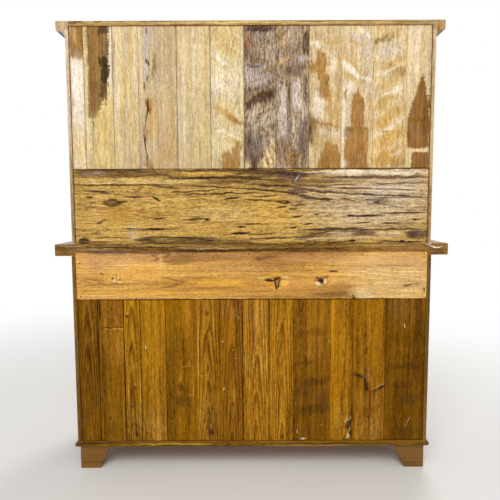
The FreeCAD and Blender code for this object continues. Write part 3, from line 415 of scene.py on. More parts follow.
def make_active(*pieces):
    """Selects only these pieces, the first one active."""
    bpy.ops.object.select_all(action="DESELECT")
    for piece in pieces:
        piece.select_set(True)
    bpy.context.view_layer.objects.active = pieces[0]


def pick_faces(piece, wanted):
    """Edit mode, with only the faces selected that wanted agrees to."""
    bpy.context.tool_settings.mesh_select_mode = (False, False, True)
    for items in (piece.data.vertices, piece.data.edges, piece.data.polygons):
        items.foreach_set("select", [False] * len(items))
    for face in piece.data.polygons:
        face.select = wanted(face)
    bpy.ops.object.mode_set(mode="EDIT")


def closed_solids(mesh):
    """The faces of each solid in a mesh, which ends where no edge is left open."""
    places = [tuple(round(value / CORNER_STEP) for value in vertex.co) for vertex in mesh.vertices]
    solids = [set()]
    open_edges = set()
    for face in mesh.polygons:
        solids[-1].add(face.index)
        corners = [places[index] for index in face.vertices]
        for corner, following in zip(corners, corners[1:] + corners[:1]):
            if corner != following:
                open_edges ^= {frozenset((corner, following))}
        if not open_edges:
            solids.append(set())
    return solids[:-1]


def clean_copy(node, name, solid):
    """A copy of one solid of a node with its corners merged and its flat faces made whole."""
    piece = bpy.data.objects.new(name, frame["nodes"][node].data.copy())
    bpy.context.scene.collection.objects.link(piece)
    piece.data.materials.clear()
    make_active(piece)
    bpy.ops.mesh.customdata_custom_splitnormals_clear()
    pick_faces(piece, lambda face: face.index not in solid)
    bpy.ops.mesh.delete(type="FACE")
    bpy.ops.mesh.select_all(action="SELECT")
    bpy.ops.mesh.remove_doubles(threshold=MERGE_DISTANCE)
    bpy.ops.mesh.dissolve_limited(angle_limit=FLAT_ANGLE)
    bpy.ops.object.mode_set(mode="OBJECT")
    return piece


def solids_of(node):
    """A clean copy of each solid of a node, in order of their places."""
    solids = closed_solids(frame["nodes"][node].data)
    parts = [clean_copy(node, f"{node}.{number}", solid) for number, solid in enumerate(solids)]
    return sorted(parts, key=lambda part: tuple(round(value, 4) for value in middle_of(part)))


def limits_of(part):
    """Lowest and highest corner of a piece whose place is in its mesh."""
    corners = [vertex.co for vertex in part.data.vertices]
    low = Vector(min(corner[i] for corner in corners) for i in range(3))
    high = Vector(max(corner[i] for corner in corners) for i in range(3))
    return low, high


def middle_of(part):
    """The middle of a piece's box."""
    low, high = limits_of(part)
    return (low + high) / 2


def set_stock(part, value):
    """Marks a piece with a number and a middle of its own, which place its grain."""
    count = len(part.data.polygons)
    stock = part.data.attributes.new("stock", "FLOAT", "FACE")
    stock.data.foreach_set("value", [value] * count)
    middle = part.data.attributes.new("middle", "FLOAT_VECTOR", "FACE")
    middle.data.foreach_set("vector", list(middle_of(part)) * count)


def take_place(piece, node):
    """The piece stands for a node: it goes into the node's body, and the node is hidden."""
    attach(piece, body_of(frame["nodes"][node])[0])
    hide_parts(node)


def soften(node, wood, edge=SOFT_EDGE):
    """Stands for a node: each solid has grain along its length, and its edges are eased."""
    parts = solids_of(node)
    for number, part in enumerate(parts):
        low, high = limits_of(part)
        spans = list(high - low)
        part.data.materials.append(wood[AXES[spans.index(max(spans))]])
        set_stock(part, number * STOCK_STEP + len(node) * NODE_STEP)
    make_active(*parts)
    if len(parts) > 1:
        bpy.ops.object.join()
    piece = bpy.context.view_layer.objects.active
    piece.name = node + ".made"
    make_active(piece)
    ease_edges(piece, edge)
    take_place(piece, node)
    return piece


FOOT_WOOD = timbers("foot_wood", FOOT_LIGHT, FOOT_DARK, rough=0.6, knots=0.2, wax=0.05)
soften("bracket_feet", FOOT_WOOD, FOOT_EDGE)

# The base case: a bottom board, two rebated sides, two partitions and three loose shelves of pine,
# housed and glued together. A small torus moulding is mitred round the bottom.
CASE_WOOD = timbers("case_wood", (178, 124, 52), (112, 68, 22), knots=0.2)
INSIDE_WOOD = timbers("inside_wood", (214, 170, 106), (176, 122, 66), rough=0.62, wax=0.0)
MOULDING_WOOD = timbers("moulding_wood", (112, 72, 30), (66, 40, 14), rough=0.45, knots=0.0)
base_bottom = soften("base_bottom", CASE_WOOD)
soften("base_moulding", MOULDING_WOOD, 0)
base_sides = soften("base_sides", CASE_WOOD)
soften("base_partitions", INSIDE_WOOD)
soften("base_shelves", INSIDE_WOOD)

# The base's front frame of mortised stiles and rails, and behind it the runners, guides and kickers
# that carry the drawers.
FRONT_WOOD = timbers("front_wood", (176, 120, 48), (104, 60, 18), rough=0.42, knots=0.18, wax=0.2)
soften("base_face_frame", FRONT_WOOD)
soften("drawer_runners", INSIDE_WOOD)

# The worktop: one thick plank of dark waxed timber with rounded front and end edges. Its back edge
# is left as it was sawn and shows streaks, and a smear of old paint at one end.
PAINTS = {
    "amber": (168, 121, 48), "umber": (112, 82, 46), "chalk": (246, 232, 212), "straw": (226, 198, 136),
    "tan": (196, 164, 116), "drab": (134, 99, 52), "olive": (150, 122, 66), "soot": (44, 30, 24),
    "honey": (202, 160, 92), "gold": (216, 186, 122), "taupe": (160, 136, 112), "lilac": (200, 184, 174),
    "plum": (92, 70, 62), "rust": (166, 118, 58), "ochre": (168, 122, 60), "bark": (74, 50, 32),
    "fawn": (202, 182, 152), "earth": (139, 92, 36), "clay": (182, 134, 86), "blush": (224, 182, 122),
    "saffron": (230, 172, 66), "cream": (236, 206, 150), "brown": (138, 92, 30), "dusk": (84, 54, 14),
    "flax": (208, 160, 72), "russet": (144, 92, 26), "brick": (146, 92, 48), "tawny": (176, 120, 34),
    "bone": (240, 222, 180),
}
# How a mark ends: roundness, then ragged edge, slow wander and saw teeth in metres, softness, and how
# much of it the fibres take away
EDGES = {
    "soft": (1.0, 0.004, 0.005, 0.0, 0.65, 0.25),
    "frayed": (0.4, 0.006, 0.004, 0.0, 0.25, 0.3),
    "sawn": (0.1, 0.002, 0.003, 0.009, 0.1, 0.12),
    "blot": (0.6, 0.004, 0.011, 0.0, 0.18, 0.2),
    "patch": (0.3, 0.004, 0.006, 0.0, 0.12, 0.16),
    "flame": (0.8, 0.0045, 0.008, 0.0, 0.45, 0.3),
    "crack": (1.0, 0.0006, 0.003, 0.0, 0.35, 0.1),
    "lens": (1.0, 0.0009, 0.002, 0.0, 0.35, 0.1),
    "zone": (0.9, 0.0016, 0.0028, 0.0, 0.35, 0.18),
    "hole": (1.0, 0.0005, 0.0, 0.0, 0.25, 0.0),
    "sharp": (0.0, 0.001, 0.001, 0.0, 0.06, 0.2),
}
UPRIGHT_FRAY = (180.0, 60.0, 16.0)
LYING_FRAY = (16.0, 60.0, 180.0)
# The photograph in which the marks were noted: its width in pixels and, for each case, a row of pixels,
# where the case's left and right edges lie in that row, and how far each draws in with every row below it
PICTURE_WIDTH = 500
CASE_EDGES = {
    "upper_sides": (45, 68.3, 436.0, 0.0218, 0.01865),
    "base_sides": (262, 70.2, 430.6, 0.0415, 0.0407),
}
CASE_HALVES = {case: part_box(case)[1].x for case in CASE_EDGES}


def up(x, y, wide, tall, hue, strength=0.8, edge="soft", lean=0, top=None):
    """An upright mark noted at a pixel: half its width and height, and how its top leans to the right."""
    return (x, y, wide, wide if top is None else top, tall, lean, hue, strength, edge)


def band(x, y, long, thick, hue, strength=0.8, edge="flame", rise=0, right=None):
    """A lying mark noted at a pixel: half its length and thickness, and how it rises to the right."""
    return (x, y, thick, thick if right is None else right, long, 90 - rise, hue, strength, edge)


def seen_on(face, case, x, y):
    """The X and Z on a face with a given Y that a pixel shows, and the size of a pixel there. Where a
    case is named, X is reckoned from the case's own edges."""
    focal = PICTURE_WIDTH * CAMERA_LENS / CAMERA_SENSOR
    middle = PICTURE_WIDTH / 2
    ray = camera_turn.to_3x3() @ Vector(((x - middle) / focal, (middle - y) / focal, -1.0))
    depth = (face - CAMERA_PLACE[1]) / ray.y
    place = Vector(CAMERA_PLACE) + depth * ray
    if case is None:
        return place.x, place.z, depth / focal
    row, left, right, left_draw, right_draw = CASE_EDGES[case]
    left += (y - row) * left_draw
    right -= (y - row) * right_draw
    half = CASE_HALVES[case]
    return half * (1 - 2 * (x - left) / (right - left)), place.z, 2 * half / (right - left)


def noted(node, case, marks):
    """Noted marks as rows in metres on a node's back face: x, z, half widths low and high, half length,
    turn, paint, strength, edge."""
    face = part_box(node)[1].y
    rows = []
    for x, y, low, high, half, *look in marks:
        across, above, size = seen_on(face, case, x, y)
        rows.append((across, above, low * size, high * size, half * size, *look))
    return rows


END_FRAY = 2.5
END_DRIFT = -0.8


def make_stain():
    """A mark on a face that looks along Y: tapered, turned, frayed along the grain and patchy."""
    takes = {"Vector": (0.0, 0.0, 0.0), "Unrest": (0.0, 0.0, 0.0), "Grain": 0.5, "Centre": (0.0, 0.0, 0.0),
             "Turn": 0.0, "Half Low": 0.01, "Half High": 0.01, "Half Length": 0.02, "Roundness": 1.0,
             "Ragged": 0.0, "Wander": 0.0, "Teeth": 0.0, "Softness": 0.3, "Patchy": 0.3, "Strength": 1.0}
    group, given, result = new_group("stain_mark", takes, ("Mask",))
    unrest = put(group, "ShaderNodeSeparateXYZ", {0: given["Unrest"]}).outputs
    sockets = {0: given["Vector"], 1: given["Centre"]}
    apart = put(group, "ShaderNodeVectorMath", sockets, operation="SUBTRACT").outputs[0]
    sockets = {"Vector": apart, "Angle": given["Turn"]}
    local = put(group, "ShaderNodeVectorRotate", sockets, rotation_type="Y_AXIS").outputs[0]
    part = put(group, "ShaderNodeSeparateXYZ", {0: local}).outputs
    fray = reckon(group, "MULTIPLY", unrest["X"], given["Ragged"])
    across = reckon(group, "MULTIPLY_ADD", unrest["Y"], given["Wander"], part["X"])
    across = reckon(group, "ABSOLUTE", reckon(group, "ADD", across, fray))
    across = reckon(group, "MULTIPLY_ADD", unrest["Z"], given["Teeth"], across)
    along = reckon(group, "MULTIPLY_ADD", fray, END_FRAY, part["Z"])
    drift = reckon(group, "MULTIPLY", unrest["Y"], given["Wander"])
    along = reckon(group, "MULTIPLY_ADD", drift, END_DRIFT, along)
    end = reckon(group, "DIVIDE", along, given["Half Length"])
    share = put(group, "ShaderNodeClamp", {0: reckon(group, "MULTIPLY_ADD", end, 0.5, 0.5)}).outputs[0]
    spread = reckon(group, "SUBTRACT", given["Half High"], given["Half Low"])
    side = reckon(group, "DIVIDE", across, reckon(group, "MULTIPLY_ADD", share, spread, given["Half Low"]))
    boxed = reckon(group, "MAXIMUM", side, reckon(group, "ABSOLUTE", end))
    square = reckon(group, "MULTIPLY_ADD", side, side, reckon(group, "MULTIPLY", end, end))
    gap = reckon(group, "SUBTRACT", reckon(group, "SQRT", square), boxed)
    reach = reckon(group, "MULTIPLY_ADD", gap, given["Roundness"], boxed)
    outer = reckon(group, "ADD", 1.0, given["Softness"])
    inner = reckon(group, "SUBTRACT", 1.0, given["Softness"])
    mask = reckon(group, "MULTIPLY", smooth_step(group, reach, outer, inner), given["Strength"])
    bare = reckon(group, "MULTIPLY", reckon(group, "SUBTRACT", 1.0, given["Grain"]), given["Patchy"])
    kept = reckon(group, "MULTIPLY", mask, reckon(group, "SUBTRACT", 1.0, bare))
    group.links.new(kept, result["Mask"])
    return group


STAIN = make_stain()
SLOW_DRIFT = (20.0, 20.0, 20.0)
SAW_TEETH = (4.0, 4.0, 190.0)
GRAIN_SHARE = 0.6


def lay_marks(tree, place, colour, rows, fray):
    """Lays rows of marks over a colour."""
    ragged = centred(tree, stark_noise(tree, place, fray, 3, 0.6), 1.0)
    drift = centred(tree, stark_noise(tree, place, SLOW_DRIFT, 3, 0.6), 1.0)
    saw = stark_noise(tree, place, SAW_TEETH, 1)
    unrest = put(tree, "ShaderNodeCombineXYZ", {0: ragged, 1: drift, 2: saw}).outputs[0]
    grain = stark_noise(tree, place, [GRAIN_SHARE * value for value in fray], 3, 0.65)
    for x, z, low, high, half, turn, hue, strength, edge in rows:
        ending = dict(zip(("Roundness", "Ragged", "Wander", "Teeth", "Softness", "Patchy"), EDGES[edge]))
        mark = place_group(tree, STAIN, Vector=place, Unrest=unrest, Grain=grain, Centre=(x, 0.0, z),
                           Turn=math.radians(turn), Half_Low=low, Half_High=high, Half_Length=half,
                           Strength=strength, **ending)
        colour = blend_colours(tree, mark["Mask"], colour, paint(*PAINTS[hue]))
    return colour


BACK_START = 0.005
BACK_END = 0.003
PLANED_SHARE = 0.4


def make_rough_back():
    """Tells the rough back of a board from its planed faces, where the tone of the fibres is calmer."""
    takes = {"Vector": (0.0, 0.0, 0.0), "Face": 0.0, "Tone": 0.5}
    group, given, result = new_group("rough_back", takes, ("Mask", "Tone"))
    depth = put(group, "ShaderNodeSeparateXYZ", {0: given["Vector"]}).outputs["Y"]
    start = reckon(group, "SUBTRACT", given["Face"], BACK_START)
    end = reckon(group, "SUBTRACT", given["Face"], BACK_END)
    rough = smooth_step(group, depth, start, end)
    share = reckon(group, "MULTIPLY_ADD", rough, 1.0 - PLANED_SHARE, PLANED_SHARE)
    swing = reckon(group, "SUBTRACT", given["Tone"], 0.5)
    group.links.new(rough, result["Mask"])
    group.links.new(reckon(group, "MULTIPLY_ADD", swing, share, 0.5), result["Tone"])
    return group


# Painted shade and dirt along a board's rim: how unevenly and how far in they reach
RIM_UNEVENNESS = (9.0, 9.0, 9.0)
RIM_LEAST = 0.002
RIM_SPREAD = 0.004
RIM_FULL = 0.0005


def make_rim_shade_and_dirt():
    """Painted shade and dirt along the rim of a board, in its joints and at its top and bottom edges."""
    takes = {"Vector": (0.0, 0.0, 0.0), "Low": (0.0, 0.0, 0.0), "High": (0.0, 0.0, 0.0)}
    group, given, result = new_group("rim_shade_and_dirt", takes, ("Mask",))
    place = put(group, "ShaderNodeSeparateXYZ", {0: given["Vector"]}).outputs
    low = put(group, "ShaderNodeSeparateXYZ", {0: given["Low"]}).outputs
    high = put(group, "ShaderNodeSeparateXYZ", {0: given["High"]}).outputs
    nearest = 1.0
    for axis in "XZ":
        nearest = reckon(group, "MINIMUM", nearest, reckon(group, "SUBTRACT", place[axis], low[axis]))
        nearest = reckon(group, "MINIMUM", nearest, reckon(group, "SUBTRACT", high[axis], place[axis]))
    uneven = stark_noise(group, given["Vector"], RIM_UNEVENNESS, 2)
    reach = reckon(group, "MULTIPLY_ADD", uneven, RIM_SPREAD, RIM_LEAST)
    group.links.new(smooth_step(group, nearest, reach, RIM_FULL), result["Mask"])
    return group


ROUGH_BACK = make_rough_back()
RIM_SHADE_AND_DIRT = make_rim_shade_and_dirt()
RIM_SHADE = (0.16, 0.12, 0.09, 1.0)


def shaded_and_dirty_rim(tree, place, colour, low, high, strength):
    """Darkens a colour along the rim of a board with painted shade and dirt."""
    shade_and_dirt = place_group(tree, RIM_SHADE_AND_DIRT, Vector=place, Low=low, High=high)["Mask"]
    dark = blend_colours(tree, 1.0, colour, RIM_SHADE, "MULTIPLY")
    return blend_colours(tree, reckon(tree, "MULTIPLY", shade_and_dirt, strength), colour, dark)


def add_block(name, low, high):
    """A block between two corners, its place in its mesh."""
    bpy.ops.object.select_all(action="DESELECT")
    middle = [(a + b) / 2 for a, b in zip(low, high)]
    spans = [b - a for a, b in zip(low, high)]
    bpy.ops.mesh.primitive_cube_add(size=1.0, location=middle, scale=spans)
    bpy.ops.object.transform_apply(location=True, rotation=True, scale=True)
    bpy.context.object.name = name
    return bpy.context.object


def cut_across(piece, axis, count):
    """Cuts a piece into even lengths along an axis, so that it can bow and its edges can wander."""
    low, high = limits_of(piece)
    normal = [0.0, 0.0, 0.0]
    normal[axis] = 1.0
    bpy.ops.object.mode_set(mode="EDIT")
    for number in range(1, count):
        place = list(low)
        place[axis] += (high[axis] - low[axis]) * number / count
        bpy.ops.mesh.select_all(action="SELECT")
        bpy.ops.mesh.bisect(plane_co=place, plane_no=normal)
    bpy.ops.object.mode_set(mode="OBJECT")


def weather(piece, strength, size):
    """Moves a piece's corners a little, as timber moves when it dries."""
    cloud = bpy.data.textures.new("drying_" + piece.name, "CLOUDS")
    cloud.noise_scale = size
    cloud.noise_depth = 2
    apply_modifier(piece, "DISPLACE", texture=cloud, strength=strength, mid_level=0.5,
                   direction="RGB_TO_XYZ", texture_coords="LOCAL")


def flat_sawn(tree, place, heart, face, rings, axis):
    """Growth rings of a flat-sawn board whose heart lies at a given place behind the face."""
    depth, taper, spacing, wobble = rings
    turned = put(tree, "ShaderNodeMapping", {"Vector": place, "Rotation": GRAIN_TURN[axis]}).outputs[0]
    ring = place_group(tree, RINGS, Vector=turned, Heart=heart, Face=face, Depth=depth, Taper=taper,
                       Spacing=spacing, Wobble=wobble)
    return ring["Ring"], turned


SLOW_WAVES = (7.0, 7.0, 3.5)


def bent(tree, vector, amount):
    """A place moved about by slow waves, so that the fibres drawn there run wavy."""
    drawn = put(tree, "ShaderNodeVectorMath", {0: vector, 1: SLOW_WAVES}, operation="MULTIPLY").outputs[0]
    noise = put(tree, "ShaderNodeTexNoise", {"Vector": drawn, "Scale": 1.0, "Detail": 2.0}).outputs["Color"]
    centre = (0.5, 0.5, 0.5)
    swing = put(tree, "ShaderNodeVectorMath", {0: noise, 1: centre}, operation="SUBTRACT").outputs[0]
    sockets = {0: swing, 1: (2 * amount, 2 * amount, 2 * amount), 2: vector}
    return put(tree, "ShaderNodeVectorMath", sockets, operation="MULTIPLY_ADD").outputs[0]


def fibre_layers(tree, vector, broad, streaks, dashes, specks, saw=0.0, waves=0.004):
    """Fibres with their strengths set, as tone and as height."""
    fibre = place_group(tree, FIBRES, Vector=bent(tree, vector, waves), Broad=broad, Streaks=streaks,
                        Dashes=dashes, Specks=specks, Saw=saw)
    return fibre["Tone"], fibre["Height"]


SAWN_BUMP = {"Strength": 0.4, "Distance": 0.003}


def sawn_surface(tree, colour, tone, height, shades, gloss, shine):
    """Ends the material of a sawn face, whose fibres shade it, roughen it and swing its gloss."""
    colour = blend_colours(tree, 1.0, colour, blend_colours(tree, tone, *shades), "MULTIPLY")
    bump = put(tree, "ShaderNodeBump", {**SAWN_BUMP, "Height": height}).outputs[0]
    rough = reckon(tree, "MULTIPLY_ADD", tone, *gloss)
    surface(tree, Base_Color=colour, Roughness=rough, Specular_IOR_Level=shine, Normal=bump)


LATE_SHADE = (0.6, 0.5, 0.36, 1.0)
EARLY_SHADE = (1.1, 1.1, 1.08, 1.0)
RING_PATCHES = (16.0, 16.0, 2.6)
CLEAR_SPREAD = 1.4
CLEAR_LEAST = 0.6
RING_SINK = -0.1
RINGED_SHADES = ((0.3, 0.25, 0.18, 1.0), (1.7, 1.75, 1.82, 1.0))
RINGED_GLOSS = (-0.2, 0.7)
RINGED_SHINE = 0.06


def pine_face(name, tint, rings, rows, fray, heart, axis, low, high, ring_tone, fibre, shade_and_dirt=0.0):
    """A sawn pine face: growth rings, fibres, painted shade and dirt at its rim, and the marks of this very
    board.
    """
    material, tree = new_material(name)
    place = put(tree, "ShaderNodeTexCoord").outputs["Object"]
    ring, turned = flat_sawn(tree, place, heart, high[1], rings, axis)
    tone, height = fibre_layers(tree, turned, *fibre)
    marked = lay_marks(tree, place, paint(*tint), rows, fray)
    if shade_and_dirt:
        marked = shaded_and_dirty_rim(tree, place, marked, low, high, shade_and_dirt)
    back = place_group(tree, ROUGH_BACK, Vector=place, Face=high[1], Tone=tone)
    colour = blend_colours(tree, back["Mask"], paint(*tint), marked)
    dark = blend_colours(tree, 1.0, colour, LATE_SHADE, "MULTIPLY")
    light = blend_colours(tree, 1.0, colour, EARLY_SHADE, "MULTIPLY")
    patchy = stark_noise(tree, turned, RING_PATCHES, 2)
    clear = reckon(tree, "MULTIPLY_ADD", patchy, CLEAR_SPREAD * ring_tone, CLEAR_LEAST * ring_tone)
    colour = blend_colours(tree, reckon(tree, "MULTIPLY", ring, clear), light, dark)
    height = reckon(tree, "MULTIPLY_ADD", ring, RING_SINK, height)
    sawn_surface(tree, colour, back["Tone"], height, RINGED_SHADES, RINGED_GLOSS, RINGED_SHINE)
    return material


# The first five are broad tones, set where mean tones of render and photograph were measured to differ
WORKTOP_MARKS = noted("worktop", None, (
    band(202, 248, 18, 4, "bark", 0.5, "soft"), band(322, 248, 48, 4, "amber", 0.4, "soft"),
    band(408, 248, 34, 4, "umber", 0.5, "soft"), band(107, 248, 17, 4, "bark", 0.28, "soft"),
    band(139, 248, 17, 4, "amber", 0.35, "soft"),
    # The plum band that starts the next row is painted shade at the lower corner of the left end.
    band(66, 249.5, 12, 5, "plum", 0.35, "soft"), band(74, 245.6, 16, 1.2, "tan", 0.6, "zone"),
    band(140, 247.4, 44, 0.9, "bark", 0.85, "zone"), band(120, 245.4, 60, 1, "olive", 0.7, "zone"),
    band(215, 250.6, 52, 1, "bark", 0.75, "zone"), band(300, 248.4, 60, 0.9, "bark", 0.8, "zone", 1),
    band(112, 251.4, 34, 1.3, "plum", 0.75, "zone"), band(340, 250.8, 50, 1.2, "brick", 0.6, "zone"),
    band(260, 245.8, 70, 0.9, "olive", 0.6, "zone"), band(180, 245.6, 60, 0.9, "olive", 0.6, "zone"),
    band(372, 245.4, 40, 0.9, "tan", 0.45, "zone"), band(208, 248.4, 30, 0.8, "tan", 0.5, "zone"),
    # The two bark lines in the next row are painted shade along the lower edge.
    band(330, 252.6, 90, 0.8, "bark", 0.7, "zone"), band(140, 252.8, 70, 0.8, "bark", 0.7, "zone"),
    band(92, 249, 20, 0.8, "tan", 0.5, "zone"), band(437, 249.4, 14, 5, "umber", 0.7, "soft"),
    band(430.6, 245.2, 4, 0.7, "lilac", 0.9, "frayed", -14),
    band(436, 246.6, 4, 0.8, "chalk", 0.9, "frayed", -6),
    band(428, 246.6, 4, 0.7, "soot", 0.7, "frayed", -20), band(436, 248.6, 6, 0.7, "soot", 0.5, "frayed"),
))
BOTTOM_MARKS = noted("base_bottom", "base_sides", (
    band(120, 443.2, 50, 0.8, "bark", 0.8, "zone"), band(220, 445.8, 60, 0.8, "bark", 0.7, "zone"),
    band(330, 443.4, 70, 0.8, "bark", 0.8, "zone"), band(176, 444, 40, 0.7, "flax", 0.5, "zone"),
    band(300, 445.6, 44, 0.7, "flax", 0.45, "zone"), band(400, 445.6, 26, 0.9, "bark", 0.8, "zone"),
    up(227, 444.4, 1.6, 1.4, "soot", 0.9, "frayed"), up(269.5, 444, 0.8, 2, "soot", 0.9, "frayed"),
    band(86, 444, 12, 1.6, "bark", 0.8, "frayed"), band(414, 444, 10, 1.4, "bark", 0.7, "frayed"),
))
WORKTOP_WOOD = timbers("worktop_wood", (150, 106, 56), (98, 62, 30), rough=0.38, wax=0.3)
worktop = soften("worktop", WORKTOP_WOOD, 0)
RAW_RINGS = (0.2, 0.03, 0.007, 0.02)
RAW_FIBRE = (0.12, 0.2, 0.16, 0.1)
RAW_CLEAR = 0.3
BACKWARDS = 0.7
BACK_DEPTH = 0.004


def raw_back(piece, tint, rows=(), axis="X", fibre=RAW_FIBRE):
    """Gives the faces of a piece that look backwards the bare, sawn surface of its timber."""
    low, high = limits_of(piece)
    fray = LYING_FRAY if axis == "X" else UPRIGHT_FRAY
    bare = pine_face(piece.name + "_back", tint, RAW_RINGS, rows, fray, 0.0, axis, low, high, RAW_CLEAR,
                     fibre)
    piece.data.materials.append(bare)
    for face in piece.data.polygons:
        if face.normal.y > BACKWARDS and face.center.y > high.y - BACK_DEPTH:
            face.material_index = len(piece.data.materials) - 1


raw_back(worktop, (134, 98, 46), WORKTOP_MARKS, fibre=(0.16, 0.26, 0.2, 0.12))
raw_back(base_sides, (118, 86, 38), (), "Z")
raw_back(base_bottom, (120, 87, 14), BOTTOM_MARKS)

# The base's back: one wide pine plank under the worktop, over thirteen upright stained pine boards.
# The boards are tongued and grooved and nailed to the rebates and the bottom.
PINE_MARKS = noted("base_back_plank", "base_sides", (
    band(160, 257, 92, 6, "clay", 0.85, "zone"), band(300, 257.4, 60, 6, "clay", 0.8, "zone"),
    band(390, 266, 46, 12, "blush", 0.7, "soft"), band(392, 290, 40, 9, "blush", 0.6, "soft"),
    band(396, 278, 44, 18, "cream", 0.5, "soft"), band(262, 286, 70, 10, "brick", 0.45, "soft"),
    band(110, 264, 26, 5, "blush", 0.5, "soft"), band(240, 268, 40, 3, "blush", 0.45, "zone"),
    # The next eight are broad tones, set where mean tones of render and photograph were measured to differ
    band(95, 262, 19, 8, "clay", 0.7, "soft"), up(92, 275, 14, 7, "clay", 0.35, "soft"),
    band(222, 261.5, 48, 8, "brick", 0.45, "soft"), band(270, 262, 17, 8, "brick", 0.5, "soft"),
    band(296, 261, 19, 7, "brick", 0.3, "soft"), band(402, 262, 30, 8, "clay", 0.65, "soft"),
    band(280, 276, 34, 8, "rust", 0.5, "soft"), band(250, 291, 92, 7, "tawny", 0.2, "soft"),
    band(178, 259.6, 15, 5, "drab", 0.6, "frayed"), band(160, 252.8, 10, 2, "plum", 0.6, "frayed"),
    band(110, 253, 36, 1.4, "plum", 0.5, "frayed"), band(266, 256.6, 9, 2.4, "drab", 0.65, "frayed", 4),
    band(258, 259, 4, 1.6, "plum", 0.5, "frayed", -20), band(310, 253.4, 50, 1.6, "brick", 0.5, "zone"),
    band(180, 288, 34, 9, "amber", 0.45, "soft"), band(216, 282.5, 26, 3, "saffron", 0.9, "lens"),
    band(240, 286, 12, 1.8, "saffron", 0.5, "lens"), band(150, 293, 22, 2.2, "saffron", 0.5, "lens"),
    band(206, 292, 16, 1.4, "saffron", 0.5, "lens"), band(198, 278, 20, 1, "brick", 0.5, "lens"),
    band(210, 288, 26, 1.1, "brick", 0.6, "lens", 1), band(172, 279.6, 13, 1, "brick", 0.7, "lens", -14),
    band(172, 285.4, 13, 1, "brick", 0.7, "lens", 14), band(92, 279.6, 12, 0.9, "brick", 0.5, "lens", -8),
    band(92, 284.6, 12, 0.9, "brick", 0.5, "lens", 8), band(120, 284, 30, 0.8, "brick", 0.45, "lens"),
    up(158.4, 261, 2.4, 8, "straw", 0.4, "flame", 6, 1.4),
    band(155, 259, 5, 0.7, "umber", 0.8, "crack", 20),
    band(165, 256.6, 5, 0.8, "umber", 0.8, "crack", 36),
    band(153, 256, 4, 0.7, "umber", 0.7, "crack", -24), up(274, 282, 11, 7, "saffron", 0.45, "soft"),
    band(263, 277.8, 6, 1.5, "gold", 0.7, "lens", 6), band(284, 276.8, 5, 1.3, "gold", 0.7, "lens", -8),
    band(283.6, 283, 4.6, 2, "gold", 0.6, "lens"), up(275.8, 280.6, 3.4, 3.2, "brick", 0.8, "blot"),
    band(268.4, 280.2, 5, 1.6, "soot", 1, "lens", -3),
    up(275.9, 283.6, 0.9, 6, "rust", 0.9, "lens", 0, 3.4),
    up(274.4, 284, 0.8, 6, "soot", 0.9, "crack", -13), up(277.4, 284, 0.8, 6, "soot", 0.9, "crack", 13),
    band(276, 278.4, 4, 1.5, "soot", 0.95, "lens", 25),
    band(272, 275.8, 9, 1.1, "saffron", 0.8, "flame", 8),
    band(270, 277.8, 8, 0.7, "brick", 0.8, "crack", 6), up(284, 284, 3.6, 4, "saffron", 0.6, "soft"),
    band(282, 279, 5, 0.8, "brick", 0.7, "crack"), up(320.4, 281.4, 6.4, 6, "ochre", 0.8, "soft"),
    up(318, 284.4, 3, 2, "cream", 0.5, "soft"), up(320, 280.8, 4.4, 4, "brick", 0.7, "blot"),
    up(320, 281, 2.9, 2.8, "soot", 1, "lens"), band(317, 278.4, 2.6, 0.8, "bark", 0.8, "lens", -36),
    band(325.6, 277, 2.8, 0.9, "umber", 0.85, "lens", 30), band(332.6, 271, 5, 0.9, "bark", 0.95, "lens"),
    band(338, 289.6, 16, 6, "brick", 0.45, "soft"), band(330, 294, 20, 2, "umber", 0.65, "zone"),
    band(344, 285, 8, 3, "rust", 0.5, "soft"), band(362, 293.6, 10, 5, "cream", 0.75, "soft", -12),
    band(366, 297, 8, 2.4, "bone", 0.4, "soft", -10), band(355.5, 299, 5, 1.3, "soot", 1, "crack", -14),
    band(352.6, 296.6, 2, 0.8, "bark", 0.9, "crack", -50),
    band(406.5, 285, 5, 0.8, "umber", 0.9, "lens", 5), band(412, 284, 5, 0.6, "brick", 0.7, "lens", 3),
    up(423.6, 289.6, 0.9, 2.4, "bark", 0.9, "lens"), band(300, 296.8, 62, 1.6, "umber", 0.5, "zone"),
    band(120, 297.8, 44, 1.4, "clay", 0.6, "zone"), band(376, 279, 16, 0.8, "saffron", 0.5, "lens", 6),
    up(99.6, 273.3, 0.9, 0.9, "soot", 0.95, "hole"), up(101.8, 275, 0.7, 0.6, "umber", 0.9, "hole"),
    up(111, 278.4, 1, 1, "soot", 0.95, "hole"), up(112.8, 280.6, 1, 2.2, "cream", 0.95, "lens", 30),
    up(116.6, 277, 0.8, 2, "cream", 0.9, "lens", -20), up(118, 282.4, 2, 1, "cream", 0.95, "lens"),
    up(115, 275.4, 0.7, 0.8, "bark", 0.9, "hole"), up(118.6, 279, 0.7, 0.9, "bark", 0.85, "hole"),
    up(113.4, 283, 0.6, 0.6, "bark", 0.85, "hole"), up(317.4, 283.6, 2.6, 1.6, "bone", 0.8, "lens", 20),
    up(324.4, 281.6, 1.2, 2.6, "cream", 0.7, "lens"), band(257.6, 258.6, 2.6, 1.8, "umber", 0.75, "lens"),
    # The long umber band that ends the next row is painted shade along the bottom edge, where the plank
    # stands proud of the boards.
    band(269, 257.2, 9, 1.8, "drab", 0.75, "lens", 5), band(252, 299.3, 176, 0.9, "umber", 0.85, "zone"),
))
PLANK_CUTS = 40
PLANK_DRYING = 0.0016
PLANK_EDGE = 0.0018
MARK_MARGIN = 0.06


def lying_plank(node, swell):
    """A plank across the back, moved a little by drying, and the corners it was made between."""
    low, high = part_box(node)
    piece = add_block(node + ".made", low, high)
    cut_across(piece, 0, PLANK_CUTS)
    weather(piece, PLANK_DRYING, swell)
    ease_edges(piece, PLANK_EDGE)
    return piece, low, high


